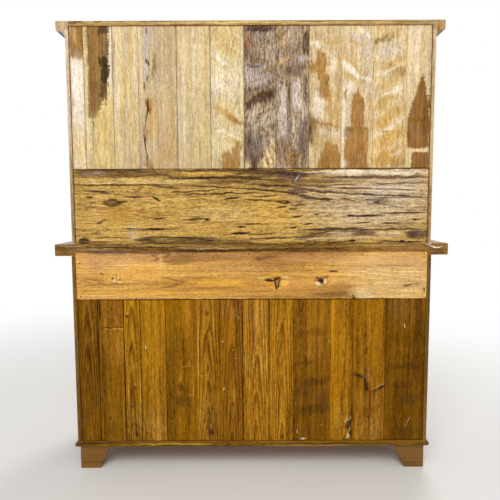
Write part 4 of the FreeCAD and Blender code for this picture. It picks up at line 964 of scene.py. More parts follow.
def mark_spans(piece, count, rows, face_of):
    """Gives each length of a plank a face with only the marks that reach it."""
    low, high = limits_of(piece)
    span = (high.x - low.x) / count
    for number in range(count):
        start = low.x + number * span
        end = start + span
        near = []
        for row in rows:
            reach = max(row[2:5]) + MARK_MARGIN
            if start - reach < row[0] < end + reach:
                near.append(row)
        piece.data.materials.append(face_of(number, near))
    for face in piece.data.polygons:
        face.material_index = min(int((face.center.x - low.x) / span), count - 1)


PINE_SWELL = 0.25
PINE_TINT = (219, 166, 85)
PINE_RINGS = (0.05, 0.036, 0.0125, 0.022)
PINE_FIBRE = (0.08, 0.11, 0.09, 0.1)
PINE_HEART = 0.9
PINE_CLEAR = 0.34
# How strongly painted shade and dirt darken the pine plank's rim
PINE_RIM_SHADE_AND_DIRT = 0.55
PINE_SPANS = 3
pine_plank, pine_low, pine_high = lying_plank("base_back_plank", PINE_SWELL)


def plank_face(number, rows):
    """One length of the pine plank, its arches pointing along the plank."""
    return pine_face(f"pine_plank_{number}", PINE_TINT, PINE_RINGS, rows, LYING_FRAY, PINE_HEART, "X",
                     pine_low, pine_high, PINE_CLEAR, PINE_FIBRE, PINE_RIM_SHADE_AND_DIRT)


mark_spans(pine_plank, PINE_SPANS, PINE_MARKS, plank_face)

# Wire nails of blackened iron, with round heads. They hold the pine plank, and are driven until
# their heads stand just proud of it.
NAIL_PIXELS = (
    (78, 263.3), (191.5, 254.2), (247.6, 254.2), (309.4, 254.2), (362, 254.2), (424, 254.2), (79, 296.4),
    (134.8, 298.6), (248.5, 298.6),
)
NAIL_RADIUS = 0.0032
NAIL_DEPTH = 0.004
NAIL_PROUD = 0.0009
NAIL_EDGE = 0.0006
NAIL_SIDES = 16
RUST_SPOTS = (500.0, 500.0, 500.0)
iron_material, iron_tree = new_material("nail_iron")
iron_place = put(iron_tree, "ShaderNodeTexCoord").outputs["Object"]
iron_rust = drawn_noise(iron_tree, iron_place, RUST_SPOTS, 2)
iron_colour = blend_colours(iron_tree, iron_rust, paint(30, 26, 24), paint(78, 52, 36))
surface(iron_tree, Base_Color=iron_colour, Metallic=0.4, Roughness=0.6)
nails = []
for pixel in NAIL_PIXELS:
    bpy.ops.object.select_all(action="DESELECT")
    nail_x, nail_z = seen_on(pine_high.y, "base_sides", *pixel)[:2]
    head = (nail_x, pine_high.y + NAIL_PROUD - NAIL_DEPTH / 2, nail_z)
    bpy.ops.mesh.primitive_cylinder_add(vertices=NAIL_SIDES, radius=NAIL_RADIUS, depth=NAIL_DEPTH,
                                        location=head, rotation=(math.pi / 2, 0.0, 0.0))
    bpy.ops.object.transform_apply(location=True, rotation=True, scale=True)
    nail = bpy.context.object
    nail.data.materials.append(iron_material)
    ease_edges(nail, NAIL_EDGE)
    nails.append(nail)
make_active(pine_plank, *nails)
bpy.ops.object.join()
take_place(pine_plank, "base_back_plank")

# How a stained board is cut: its rings' depth, taper, spacing and wobble, how far its heart lies off its
# middle, and how clearly its rings show
FIGURES = {
    "arched": (0.016, 0.034, 0.0085, 0.018, 0.0, 1.7),
    "plain": (0.07, 0.012, 0.0065, 0.01, 0.16, 0.6),
}
BASE_FIBRE = (0.14, 0.21, 0.14, 0.12)
# How strongly painted shade and dirt darken the rims of the stained boards
BASE_RIM_SHADE_AND_DIRT = 0.85
CHIP_WIDTH = 0.75
CHIP_HEIGHT = 0.85
CHIP_STRENGTH = 0.75


def chip(x, y, wide, tall, strength, edge, lean=0):
    """A pale chip in a stained board, made smaller and fainter than it was noted."""
    return up(x, y, CHIP_WIDTH * wide, CHIP_HEIGHT * tall, "bone", CHIP_STRENGTH * strength, edge, lean)


# The boards from the +X side on: share of the width, tint, cut, joint to the next one in metres, and marks
# Seventeen marks are broad tones, set where mean tones of render and photograph were measured to differ
BASE_BOARDS = (
    (96, (119, 79, 8), "arched", 0.0012, (
        up(90, 318, 7, 22, "tawny", 0.28), up(87, 330, 7, 28, "brown", 0.35, "soft"),
        up(86, 358, 1.6, 5, "dusk", 0.6, "flame", -20), up(84.6, 375, 2.4, 5, "dusk", 0.45, "flame", 25),
        up(94.5, 385, 1.8, 22, "dusk", 0.5, "frayed"), up(87.6, 415, 1, 14, "dusk", 0.5, "frayed"),
        up(91, 340, 0.5, 6, "flax", 0.3, "crack", 14),
    )),
    (121, (134, 90, 12), "plain", 0.0013, (
        up(111.5, 328, 13, 34, "tawny", 0.34), up(111, 314, 12.5, 14, "russet", 0.6, "sharp"),
        band(111, 327.9, 12, 0.55, "soot", 0.9, "crack", 1),
        band(113.8, 329.1, 9.5, 0.55, "flax", 0.75, "crack", 2),
        up(117.4, 347, 4.6, 17, "tawny", 0.7, "soft"), up(104, 380, 3.4, 40, "dusk", 0.4, "soft"),
        up(109, 418.3, 1.5, 1.6, "dusk", 0.9, "lens"), up(98.2, 310, 0.9, 12, "soot", 1, "lens"),
        up(113, 430, 9, 8, "dusk", 0.4, "soft"),
    )),
    (78, (157, 111, 18), "arched", 0.0008, (
        up(133, 426, 7, 20, "flax", 0.34), up(125.4, 316.6, 1.3, 2.2, "soot", 0.8, "lens"),
        up(126, 313.6, 0.8, 1, "flax", 0.8, "lens"), up(132, 346, 1.2, 4, "dusk", 0.7, "flame"),
        up(133.6, 366, 2.2, 3, "flax", 0.35, "flame"),
        up(134, 386.6, 1.9, 3.2, "dusk", 0.8, "lens", 0, 1),
        up(134, 384.6, 1.1, 1.4, "flax", 0.7, "lens"), up(135.6, 428, 2.6, 4.4, "brick", 0.6, "lens"),
        up(135.4, 434, 2, 2.2, "dusk", 0.7, "lens"), up(127.4, 402, 0.55, 38, "flax", 0.75, "crack"),
        up(139.4, 400, 0.6, 36, "flax", 0.7, "crack", 1), up(134, 404, 0.5, 14, "dusk", 0.6, "crack"),
    )),
    (121, (158, 109, 16), "plain", 0.0009, (
        up(154, 430, 11, 20, "flax", 0.4), chip(144.3, 347.4, 0.55, 2, 0.95, "hole"),
        up(157, 372, 6, 46, "tawny", 0.4, "soft"), up(147, 392, 0.9, 24, "dusk", 0.4, "frayed", 2),
        up(143.4, 325, 2, 26, "dusk", 0.35, "frayed"),
    )),
    (137, (144, 97, 8), "plain", 0.0005, (
        up(181, 326, 13, 16, "tawny", 0.2), up(189, 314, 6, 18, "tawny", 0.5, "soft"),
        up(172, 372, 5, 66, "dusk", 0.4, "soft"), up(180, 388.4, 2.8, 4.4, "dusk", 0.8, "lens"),
        up(178.8, 401, 3.8, 4.4, "dusk", 0.75, "frayed"), up(185, 404, 8, 16, "dusk", 0.45, "soft"),
        band(186, 366.4, 4, 0.45, "flax", 0.7, "crack", 14),
        band(188, 363.6, 3, 0.4, "flax", 0.6, "crack", 32),
        up(192.4, 391, 0.4, 6, "flax", 0.55, "crack", 8),
        band(190, 395, 4, 0.4, "flax", 0.5, "crack", -8), up(179, 378, 1, 4, "flax", 0.3, "crack", 16),
    )),
    (117, (157, 110, 21), "arched", 0.0006, (
        up(208, 308, 11, 18, "brown", 0.5), up(208, 420, 10, 24, "flax", 0.18),
        up(205.6, 313.6, 1.3, 2.2, "dusk", 0.9, "lens"), up(206.4, 331, 1, 8, "dusk", 0.7, "crack", 18),
        up(209.6, 331, 1, 8, "dusk", 0.7, "crack", -18), up(206, 368.4, 0.9, 6, "dusk", 0.8, "crack"),
        up(204.6, 352, 0.6, 9, "flax", 0.45, "crack", 8),
        up(212.6, 350, 0.8, 12, "dusk", 0.45, "crack", -6),
        up(205.4, 415, 1, 10, "dusk", 0.7, "crack", 12), up(208.4, 415, 1, 10, "dusk", 0.7, "crack", -12),
        up(203, 388, 0.6, 18, "dusk", 0.45, "crack"), up(210.6, 431.6, 4.2, 4.6, "brick", 0.7, "lens"),
        up(210.6, 432.6, 2.2, 2.6, "dusk", 0.7, "lens"), up(196.6, 350, 0.5, 28, "flax", 0.6, "crack"),
        band(201, 375.4, 4, 0.4, "flax", 0.5, "crack"),
    )),
    (112, (140, 93, 15), "arched", 0.0012, (
        up(231, 416, 10, 22, "dusk", 0.32), up(231, 306, 10, 10, "clay", 0.14),
        chip(237.3, 317.4, 0.75, 1.8, 0.95, "hole", -10),
        up(233.6, 316.4, 0.4, 3, "flax", 0.6, "crack", 30),
        chip(221.4, 341.8, 0.65, 1.3, 0.95, "hole"),
        chip(231.6, 349.8, 0.6, 0.9, 0.85, "hole"),
        chip(222.6, 388.8, 0.9, 2.1, 0.95, "hole", 10),
        up(221, 310, 0.5, 9, "flax", 0.6, "crack"), up(234, 345, 1, 18, "dusk", 0.4, "crack", 4),
        up(233, 375, 2.2, 6, "tawny", 0.5, "lens"), up(234, 394, 2.4, 7, "tawny", 0.5, "lens"),
        up(231.4, 412, 1.8, 6, "flax", 0.45, "lens"), band(235, 358, 3, 0.5, "flax", 0.5, "crack", 10),
        up(237.6, 385, 0.6, 22, "dusk", 0.55, "crack"), up(228.6, 400, 0.6, 24, "dusk", 0.45, "crack"),
    )),
    (124, (178, 124, 29), "arched", 0.0024, (
        up(255.5, 362, 12, 14, "flax", 0.34), up(255, 316, 12, 18, "clay", 0.2),
        up(252.8, 340.6, 1.4, 10, "brick", 0.8, "frayed", 4),
        up(250, 352, 0.7, 8, "dusk", 0.45, "crack", -6), up(265.6, 384, 0.7, 12, "dusk", 0.75, "crack"),
        up(262, 345, 0.7, 18, "flax", 0.35, "crack", 5), up(256, 400, 0.5, 24, "dusk", 0.3, "crack"),
        up(260, 320, 1.2, 14, "flax", 0.25, "frayed", 6),
    )),
    (117, (169, 118, 25), "arched", 0.0007, (
        up(279, 348, 1, 7, "dusk", 0.8, "flame", 0, 0.3),
        up(277.4, 392, 0.55, 42, "dusk", 0.75, "crack", 1),
        up(281.4, 392, 0.45, 38, "dusk", 0.45, "crack", -1),
        up(293, 322, 1.6, 1.8, "soot", 0.85, "lens", 30), up(294, 317.6, 0.7, 2, "soot", 0.8, "lens"),
        up(280.6, 436.6, 1.5, 2.6, "dusk", 0.85, "lens"),
        up(275.4, 320, 0.6, 18, "flax", 0.4, "crack", -3), up(287, 370, 1.2, 50, "tawny", 0.3, "frayed"),
    )),
    (176, (124, 81, 8), "plain", 0.0007, (
        up(312, 326, 18, 34, "tawny", 0.34), up(312, 408, 18, 32, "dusk", 0.22),
        up(300.4, 309, 0.8, 5, "soot", 0.6, "crack", 24), up(297, 312, 0.6, 4, "dusk", 0.6, "crack", -20),
        band(312, 382, 18, 4, "dusk", 0.8, "flame", 9), band(312, 409, 18, 4.4, "dusk", 0.75, "flame", 6),
        band(310, 333, 15, 4, "dusk", 0.5, "flame", 4), band(300, 392, 8, 5, "bark", 0.35, "soft"),
        band(322, 400, 8, 9, "bark", 0.4, "soft"), band(303, 362, 9, 3, "dusk", 0.5, "flame", 12),
        up(329, 341.4, 1.4, 2.4, "flax", 0.5, "soft"), up(313, 350, 7, 12, "brown", 0.4, "soft"),
        chip(295.4, 431.6, 0.65, 2.6, 0.9, "hole", -8),
        band(301, 438.6, 3.4, 0.9, "bone", 0.75, "lens", 8),
        chip(293.6, 403, 0.5, 0.9, 0.85, "hole"), up(319.6, 424.6, 0.5, 0.8, "flax", 0.7, "hole"),
        band(298, 440, 5, 1, "soot", 0.6, "frayed"),
    )),
    (105, (164, 111, 12), "plain", 0.0006, (
        up(342, 310, 10, 18, "brown", 0.4), up(342, 420, 10, 20, "flax", 0.24),
        up(347.4, 424, 3.6, 6, "bark", 1, "blot", 16),
        chip(344.6, 420, 0.8, 3.4, 0.9, "crack", 34),
        chip(348, 418.6, 0.7, 3, 0.85, "crack", 30), up(349, 436, 2.8, 7, "soot", 1, "blot"),
        up(345.8, 435.6, 1.1, 2.8, "cream", 0.9, "lens", 8),
        up(343.6, 440, 3.4, 1.6, "soot", 0.95, "frayed"),
        up(347.6, 429.6, 0.7, 2.4, "cream", 0.9, "crack", 20),
        up(349.8, 411, 0.7, 9, "soot", 0.9, "crack"), up(343, 360, 5, 50, "tawny", 0.35, "soft"),
    )),
    (156, (150, 100, 13), "plain", 0.0008, (
        up(369, 430, 14, 16, "flax", 0.4), band(358.6, 376.4, 7, 1.9, "bark", 1, "lens", -26, 1.2),
        up(364.6, 385, 1.5, 6.4, "bark", 1, "lens", -14),
        band(376.6, 388.4, 9, 1.9, "bark", 1, "lens", 30),
        band(377, 386.4, 7, 0.7, "flax", 0.6, "lens", 30), up(369, 381, 2.6, 4, "tawny", 0.6, "soft"),
        up(367.4, 416, 0.45, 27, "dusk", 0.85, "crack"), up(360.6, 416, 6, 26, "tawny", 0.5, "sharp"),
        up(376, 414, 8, 26, "brown", 0.4, "sharp"), up(366, 374, 4, 8, "olive", 0.35, "soft"),
        up(365.6, 416.4, 1.2, 0.6, "soot", 0.9, "hole"), up(368.4, 330, 0.5, 18, "flax", 0.4, "crack"),
        up(378, 410, 0.5, 3, "flax", 0.5, "crack"),
    )),
    (188, (114, 74, 4), "plain", 0.001, (
        up(403, 308, 15, 16, "clay", 0.12), chip(403.8, 325.6, 0.6, 2.7, 0.9, "hole", -8),
        chip(407.4, 418.4, 0.5, 3.4, 0.6, "crack", 20),
        up(404, 424, 0.4, 3, "flax", 0.5, "crack", 30), band(404, 366, 17, 3, "dusk", 0.75, "flame", 4),
        band(400, 385, 12, 4, "dusk", 0.6, "flame", -8), band(410, 399, 12, 5, "bark", 0.4, "soft", 10),
        band(396, 337, 9, 4, "dusk", 0.5, "flame", 6), band(404, 349, 17, 2, "brown", 0.35, "soft", -3),
        up(420.4, 350, 1.6, 40, "dusk", 0.6, "frayed"), band(408, 374.6, 5, 0.8, "soot", 0.4, "flame", 3),
        up(414, 307, 1, 5, "dusk", 0.6, "frayed"), band(402, 431, 12, 4, "dusk", 0.4, "soft"),
    )),
)
TONGUE_THICKNESS = 0.005
TONGUE_LENGTH = 0.006
TONGUE_PLAY = 0.0004
OPEN_JOINT = 0.0012
END_JOINT = 0.001
CLEAN_SHARE = 4.0
SIDEWAYS = 0.9
BOARD_CUTS = 7
BOARD_DRYING = 0.0014
BOARD_SWELL = 0.3
BOARD_EDGE = 0.0012


def tongued_board(name, low, high, tongue, groove):
    """An upright board with a tongue on its -X edge and a groove in its +X edge."""
    piece = add_block(name, low, high)
    thickness = high[1] - low[1]
    if tongue:
        pick_faces(piece, lambda face: face.normal.x < -SIDEWAYS)
        bpy.ops.mesh.inset(thickness=(thickness - TONGUE_THICKNESS) / 2)
        bpy.ops.mesh.extrude_region_move(TRANSFORM_OT_translate={"value": (-TONGUE_LENGTH, 0.0, 0.0)})
        bpy.ops.object.mode_set(mode="OBJECT")
    if groove:
        pick_faces(piece, lambda face: face.normal.x > SIDEWAYS)
        bpy.ops.mesh.inset(thickness=(thickness - TONGUE_THICKNESS) / 2 - TONGUE_PLAY)
        depth = TONGUE_LENGTH + TONGUE_PLAY
        bpy.ops.mesh.extrude_region_move(TRANSFORM_OT_translate={"value": (-depth, 0.0, 0.0)})
        bpy.ops.object.mode_set(mode="OBJECT")
    cut_across(piece, 2, BOARD_CUTS)
    weather(piece, BOARD_DRYING, BOARD_SWELL)
    ease_edges(piece, BOARD_EDGE)
    return piece


def clean_reach(joint):
    """How far the painted shade and dirt of a tight joint stay off its boards."""
    return max(0.0, CLEAN_SHARE * (OPEN_JOINT - joint))


def board_row(node, name, boards, face_of):
    """Lays a row of boards from the +X side, each with its own width, face and joint to the next one."""
    low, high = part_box(node)
    share = (high.x - low.x) / sum(board[0] for board in boards)
    edge, before = high.x, END_JOINT
    for number, (width, tint, cut, joint, marks) in enumerate(boards, 1):
        far = edge - width * share
        near_corner = (far + joint / 2, low.y, low.z)
        far_corner = (edge - before / 2, high.y, high.z)
        piece = tongued_board(f"{name}_{number}", near_corner, far_corner, number < len(boards), number > 1)
        # The box whose rim painted shade and dirt darken
        rim_low = (near_corner[0] - clean_reach(joint), low.y, low.z)
        rim_high = (far_corner[0] + clean_reach(before), high.y, high.z)
        piece.data.materials.append(face_of(number, tint, cut, marks, rim_low, rim_high))
        take_place(piece, node)
        edge, before = far, joint


def stained_face(number, tint, figure, marks, low, high):
    """A stained pine board of the base."""
    rows = noted("base_back_boards", "base_sides", marks)
    *rings, offset, clear = FIGURES[figure]
    heart = (low[0] + high[0]) / 2 + offset
    return pine_face(f"stained_board_{number}", tint, rings, rows, UPRIGHT_FRAY, heart, "Z", low, high,
                     clear, BASE_FIBRE, BASE_RIM_SHADE_AND_DIRT)


board_row("base_back_boards", "base_board", BASE_BOARDS, stained_face)

# The upper case: two rebated sides, a floor, two partitions and three shelves on turned pins, all of
# pine, under a top board whose back edge is chipped. A cornice of fascia and cove is mitred round it.
TOP_MARKS = noted("upper_top", "upper_sides", (
    band(88, 20.6, 15, 1, "soot", 0.85, "frayed"), band(100, 21.4, 4, 1.4, "soot", 0.85, "frayed"),
    band(76, 22, 5, 1.2, "bark", 0.8, "frayed"), band(250, 22.4, 130, 0.8, "straw", 0.4, "zone"),
    # The long brick band that starts the next row is painted shade along the top board's lower edge.
    band(250, 25.4, 190, 0.7, "brick", 0.9, "zone"), band(430, 23.5, 14, 3, "fawn", 0.4, "soft"),
    band(160, 20.4, 40, 0.8, "bark", 0.6, "zone"), band(330, 20.8, 50, 0.7, "umber", 0.6, "zone"),
))
SIDE_MARKS = noted("upper_sides", "upper_sides", (
    up(73.6, 205, 4, 43, "olive", 0.9, "soft"), up(75, 204, 0.8, 44, "bark", 0.7, "frayed"),
    up(431.4, 205, 4, 43, "ochre", 0.9, "soft"), up(430, 204, 0.8, 44, "bark", 0.8, "frayed"),
    up(434, 100, 4, 76, "tan", 0.75, "soft"), up(433, 60, 0.8, 40, "brick", 0.6, "frayed"),
    up(71.8, 90, 0.6, 74, "brick", 0.2, "frayed"),
))
CORNICE_MARKS = noted("cornice", None, (
    up(440, 30, 9, 12, "rust", 0.55, "soft"), up(438, 36, 1.4, 9, "brick", 0.5, "frayed"),
    up(60, 38, 2, 8, "lilac", 0.5, "soft"),
))
upper_sides = soften("upper_sides", CASE_WOOD)
raw_back(upper_sides, (208, 188, 160), SIDE_MARKS, "Z", fibre=(0.06, 0.1, 0.1, 0.06))
soften("upper_floor", CASE_WOOD)
soften("upper_partitions", INSIDE_WOOD)
soften("display_shelves", INSIDE_WOOD)
soften("upper_face_frame", FRONT_WOOD)
upper_top = soften("upper_top", CASE_WOOD)
raw_back(upper_top, (166, 135, 84), TOP_MARKS)
cornice = soften("cornice", MOULDING_WOOD, 0)
raw_back(cornice, (184, 156, 120), CORNICE_MARKS, "Z", fibre=(0.1, 0.1, 0.1, 0.08))

# The upper back: a wide plank of spalted timber with dark zone lines, under twelve upright boards of
# pale sawn timber, some of them stained, cracked or torn by the saw.
VEIN_THICKNESS = 0.88
VEIN_STRENGTH = 1.1


def vein(x, y, long, thick, hue, strength, edge, rise=0):
    """A thin dark line of spalting, made thinner and stronger than it was noted."""
    return band(x, y, long, VEIN_THICKNESS * thick, hue, min(1.0, VEIN_STRENGTH * strength), edge, rise)


# The first ten are broad tones, set where mean tones of render and photograph were measured to differ
SPALTED_MARKS = noted("upper_back_plank", "upper_sides", (
    band(194, 179, 40, 9, "umber", 0.55, "soft"), band(266, 180, 46, 9, "umber", 0.4, "soft"),
    band(326, 180, 18, 8, "drab", 0.4, "soft"), band(412, 179, 15, 8, "taupe", 0.4, "soft"),
    band(296, 197, 16, 9, "umber", 0.5, "soft"), band(383, 197, 16, 9, "bone", 0.4, "soft"),
    band(121, 213, 16, 8, "amber", 0.25, "soft"), band(223, 214, 32, 8, "tawny", 0.2, "soft"),
    band(368, 213, 30, 8, "straw", 0.35, "soft"), band(222, 231, 60, 8, "tawny", 0.18, "soft"),
    up(84, 208, 8, 36, "umber", 0.28, "soft"), up(99, 212, 6, 15, "clay", 0.35, "soft"),
    up(118, 214, 9, 12, "tawny", 0.35, "soft"), band(142, 197, 14, 6, "clay", 0.3, "soft"),
    band(184, 190, 16, 5, "clay", 0.3, "soft"), band(222, 223, 18, 4, "clay", 0.3, "soft"),
    band(140, 214, 40, 9, "amber", 0.35, "soft"), band(226, 213, 30, 6, "gold", 0.55, "soft"),
    band(278, 210, 30, 12, "flax", 0.55, "soft"), band(372, 203, 62, 26, "fawn", 0.75, "soft"),
    band(398, 190, 32, 10, "lilac", 0.35, "soft"), band(124, 173.4, 54, 5, "umber", 0.95, "zone", 0, 3),
    band(110, 171, 40, 2, "bark", 0.6, "zone"), band(96, 174.2, 13, 2.4, "taupe", 0.7, "zone"),
    band(140, 181.8, 66, 2.7, "gold", 0.55, "lens"), vein(213, 170.6, 42, 1.3, "bark", 0.95, "zone"),
    band(206, 174, 28, 1.8, "flax", 0.7, "zone"), vein(222, 177.8, 50, 1.5, "soot", 0.85, "zone", 1),
    band(270, 173, 34, 3, "bark", 0.8, "zone", -2), band(230, 181.4, 30, 3, "umber", 0.8, "zone", 2),
    vein(126, 184.9, 52, 0.9, "bark", 1, "lens"), vein(166, 187, 14, 0.9, "bark", 0.8, "lens", -6),
    band(292, 183, 44, 3.4, "umber", 0.6, "zone", 2), vein(268, 179.4, 24, 1.2, "soot", 0.85, "zone", -3),
    vein(275, 185.6, 28, 1.4, "bark", 1, "zone", -4), vein(262, 189.8, 16, 1, "bark", 0.95, "zone", -2),
    vein(292, 193.6, 24, 1.1, "bark", 0.95, "zone", -8), band(294, 175.4, 16, 3.6, "plum", 0.9, "zone"),
    band(265, 170.2, 60, 1, "bark", 0.85, "zone"), band(300, 173.4, 36, 1.4, "soot", 0.7, "zone", -1),
    band(306, 180.6, 36, 2, "umber", 0.7, "zone", -1), band(314, 185.6, 22, 1.2, "plum", 0.85, "zone", -5),
    band(322, 191, 24, 1.2, "taupe", 0.7, "zone", -3), band(298, 191.8, 10, 1.8, "plum", 0.7, "lens", -4),
    up(296, 177, 3.4, 5, "plum", 0.95, "lens", 0, 7), up(293, 176.8, 0.7, 4, "lilac", 0.15, "lens", -30),
    up(298.6, 177.4, 1, 4.4, "lilac", 0.5, "lens", 32), band(374, 172.4, 60, 2.6, "chalk", 0.6, "zone"),
    vein(378, 177.2, 58, 1.7, "plum", 0.95, "zone"), vein(372, 168.8, 62, 0.9, "bark", 0.8, "zone"),
    band(346, 181.4, 30, 2, "umber", 0.5, "zone"), vein(222, 193.4, 46, 1, "bark", 1, "zone", 1),
    vein(182, 192, 11, 1, "bark", 0.95, "lens"), vein(224, 187.4, 40, 0.9, "bark", 0.85, "zone", -3),
    vein(205, 190.6, 16, 0.8, "bark", 0.8, "lens", 4), vein(312, 190, 22, 1.3, "plum", 0.85, "zone", -6),
    vein(356, 188.2, 19, 1.1, "plum", 0.95, "lens"), vein(372, 194.6, 62, 0.9, "bark", 0.9, "zone", -3),
    vein(400, 183.2, 30, 0.9, "plum", 0.85, "zone"), vein(340, 184.8, 22, 0.8, "bark", 0.8, "lens", 3),
    vein(396, 189.4, 26, 0.7, "plum", 0.7, "lens", -2), vein(311, 198, 9, 1.7, "plum", 0.95, "lens", -8),
    vein(326, 199, 10, 1.4, "bark", 0.95, "lens", -4), band(349, 199.4, 9, 1, "earth", 0.95, "lens", -10),
    band(285, 201.8, 6, 2, "soot", 0.95, "lens"), band(285, 201.6, 2.4, 0.7, "amber", 0.9, "lens"),
    vein(378, 201.4, 4.4, 0.8, "plum", 0.8, "lens", 12),
    vein(378, 202, 4, 0.9, "plum", 0.85, "lens", -20),
    vein(262, 200.2, 18, 0.9, "bark", 0.85, "zone", -2),
    vein(268, 196, 14, 0.8, "bark", 0.85, "lens", 4), vein(404, 197.6, 26, 0.7, "bark", 0.8, "zone", 1),
    vein(98, 191.6, 13, 1.2, "plum", 0.95, "lens", -3), vein(104, 192.6, 5, 1.3, "plum", 0.9, "lens", -8),
    vein(90, 197.4, 4.4, 1, "bark", 0.9, "lens"), vein(135.5, 197, 11, 1, "bark", 1, "lens", -1),
    vein(157, 198.8, 5, 1.3, "soot", 1, "lens", -28), band(113, 202.7, 9.4, 3.8, "soot", 1, "lens"),
    band(112.2, 202.8, 6.4, 2, "drab", 0.9, "hole"), vein(123, 201.4, 6, 1.4, "bark", 0.9, "lens", 4),
    vein(232.5, 198.2, 8, 1.3, "bark", 0.95, "lens", 8),
    vein(100, 222.6, 3.4, 1, "bark", 0.9, "lens", 15),
    band(105, 220, 3.4, 0.8, "umber", 0.8, "lens", 12),
    vein(160.5, 218.7, 6.4, 0.9, "bark", 0.95, "lens", 6),
    vein(197.5, 219.3, 14, 1, "bark", 0.95, "lens", 1), vein(208, 219.7, 2.4, 1.2, "soot", 0.95, "lens"),
    band(152.7, 229, 27, 1.1, "umber", 0.95, "lens"), vein(156, 228.8, 9, 1.5, "soot", 1, "lens", -2),
    vein(133, 228.6, 5, 0.9, "bark", 0.9, "lens", 4), vein(241.5, 233.4, 9.4, 1.6, "soot", 1, "lens"),
    vein(243, 226.6, 4.4, 0.9, "soot", 0.95, "lens"), band(253, 224, 10, 0.8, "umber", 0.9, "lens"),
    vein(283, 207, 6.6, 0.9, "bark", 0.95, "lens", 6), vein(294, 209, 4, 0.9, "bark", 0.9, "lens"),
    vein(298.6, 216.6, 5.2, 1, "bark", 0.95, "lens", 8),
    vein(366.6, 215.6, 18, 1.1, "bark", 0.95, "lens", 1), vein(352, 215.4, 3.4, 1.2, "soot", 0.95, "lens"),
    vein(406, 212.8, 26, 1, "bark", 0.9, "lens", 2), vein(310, 224, 4.4, 1, "soot", 0.95, "lens", 10),
    vein(364, 222.6, 9, 0.9, "bark", 0.9, "lens", 6), vein(393.5, 222.6, 9, 1, "bark", 0.95, "lens", 2),
    vein(417.6, 219.6, 4, 0.9, "bark", 0.95, "lens"), vein(295, 227.7, 3.6, 1.1, "soot", 0.95, "lens", 14),
    vein(318, 214.5, 2.4, 0.8, "bark", 0.9, "lens"), vein(258, 224, 10, 0.8, "bark", 0.8, "lens", -4),
    vein(300, 205, 8, 0.8, "bark", 0.8, "lens", 2), up(133, 234, 4.6, 8, "fawn", 0.4, "soft", 14),
    band(108, 237.6, 19, 0.9, "umber", 0.9, "lens"), band(182, 240.6, 46, 4.2, "bark", 0.85, "zone"),
    vein(152, 239, 14, 0.7, "soot", 0.85, "lens", 8),
    vein(184, 237.6, 20, 0.7, "soot", 0.85, "lens", -1),
    vein(207, 239.8, 9, 0.7, "soot", 0.8, "lens", -12),
    band(167, 239.8, 16, 2.2, "olive", 0.95, "lens"), band(238, 242, 18, 1.9, "umber", 0.85, "zone"),
    vein(146, 238.4, 12, 1.4, "plum", 0.8, "lens", 8),
    vein(276, 238.4, 32, 1, "bark", 0.9, "zone", 2), vein(262, 234.4, 12, 0.8, "bark", 0.85, "lens"),
    band(330, 233.8, 30, 4, "umber", 0.65, "zone"), band(308, 237.4, 11, 2, "bark", 0.95, "zone", 6),
    vein(334, 228.8, 32, 1.4, "soot", 0.95, "zone", 1), vein(322, 232.6, 14, 1, "bark", 0.9, "zone", 10),
    band(344, 233.6, 14, 2.2, "fawn", 0.5, "zone"), band(366, 233, 12, 2.8, "plum", 0.95, "zone"),
    vein(394, 229.2, 34, 1, "bark", 0.95, "zone", 1), band(420, 234, 13, 4.8, "plum", 0.9, "zone"),
    band(414, 234, 5, 3.2, "soot", 0.6, "frayed"), band(392, 234.4, 14, 2.2, "fawn", 0.45, "zone"),
    band(340, 238.2, 40, 1.6, "fawn", 0.35, "zone"), vein(404, 241.5, 26, 1.1, "soot", 0.95, "zone"),
    vein(330, 242, 30, 0.9, "bark", 0.85, "zone"), vein(404, 240.8, 3, 1.3, "soot", 0.95, "lens"),
    vein(353.5, 240.2, 3.4, 1.3, "soot", 0.95, "lens"), band(84.5, 241.2, 6, 3.4, "soot", 1, "lens"),
    band(94, 242, 14, 1, "umber", 0.9, "lens"),
))
ZONE_FIELD = (1.7, 6.0, 13.0)
ZONE_BREAKS = (5.0, 6.0, 20.0)
ZONE_COUNT = 7.0
ZONE_WIDTH = (0.13, 0.03)
ZONE_KEPT = (0.54, 0.66)


def make_zone_lines():
    """Thin dark lines that wander through spalted timber, lying along X."""
    group, given, result = new_group("zone_lines", {"Vector": (0.0, 0.0, 0.0)}, ("Mask",))
    field = drawn_noise(group, given["Vector"], ZONE_FIELD, 3)
    breaks = drawn_noise(group, given["Vector"], ZONE_BREAKS, 1)
    level = reckon(group, "FRACT", reckon(group, "MULTIPLY", field, ZONE_COUNT))
    away = reckon(group, "ABSOLUTE", reckon(group, "SUBTRACT", level, 0.5))
    line = smooth_step(group, away, *ZONE_WIDTH)
    kept = smooth_step(group, breaks, *ZONE_KEPT)
    group.links.new(reckon(group, "MULTIPLY", line, kept), result["Mask"])
    return group


ZONE_LINES = make_zone_lines()
ZONE_STRENGTH = 0.6
SPALTED_SWELL = 0.3
SPALTED_TINT = (196, 157, 84)
SPALTED_INSIDE = (186, 130, 62)
SPALTED_FIBRE = (0.08, 0.14, 0.2, 0.16, 0.0, 0.012)
# How strongly painted shade and dirt darken the spalted plank's rim
SPALTED_RIM_SHADE_AND_DIRT = 0.85
SPALTED_SHADES = ((0.3, 0.24, 0.22, 1.0), (1.7, 1.76, 1.78, 1.0))
SPALTED_GLOSS = (-0.2, 0.75)
SPALTED_SHINE = 0.06
SPALTED_SPANS = 5
spalted_plank, spalted_low, spalted_high = lying_plank("upper_back_plank", SPALTED_SWELL)


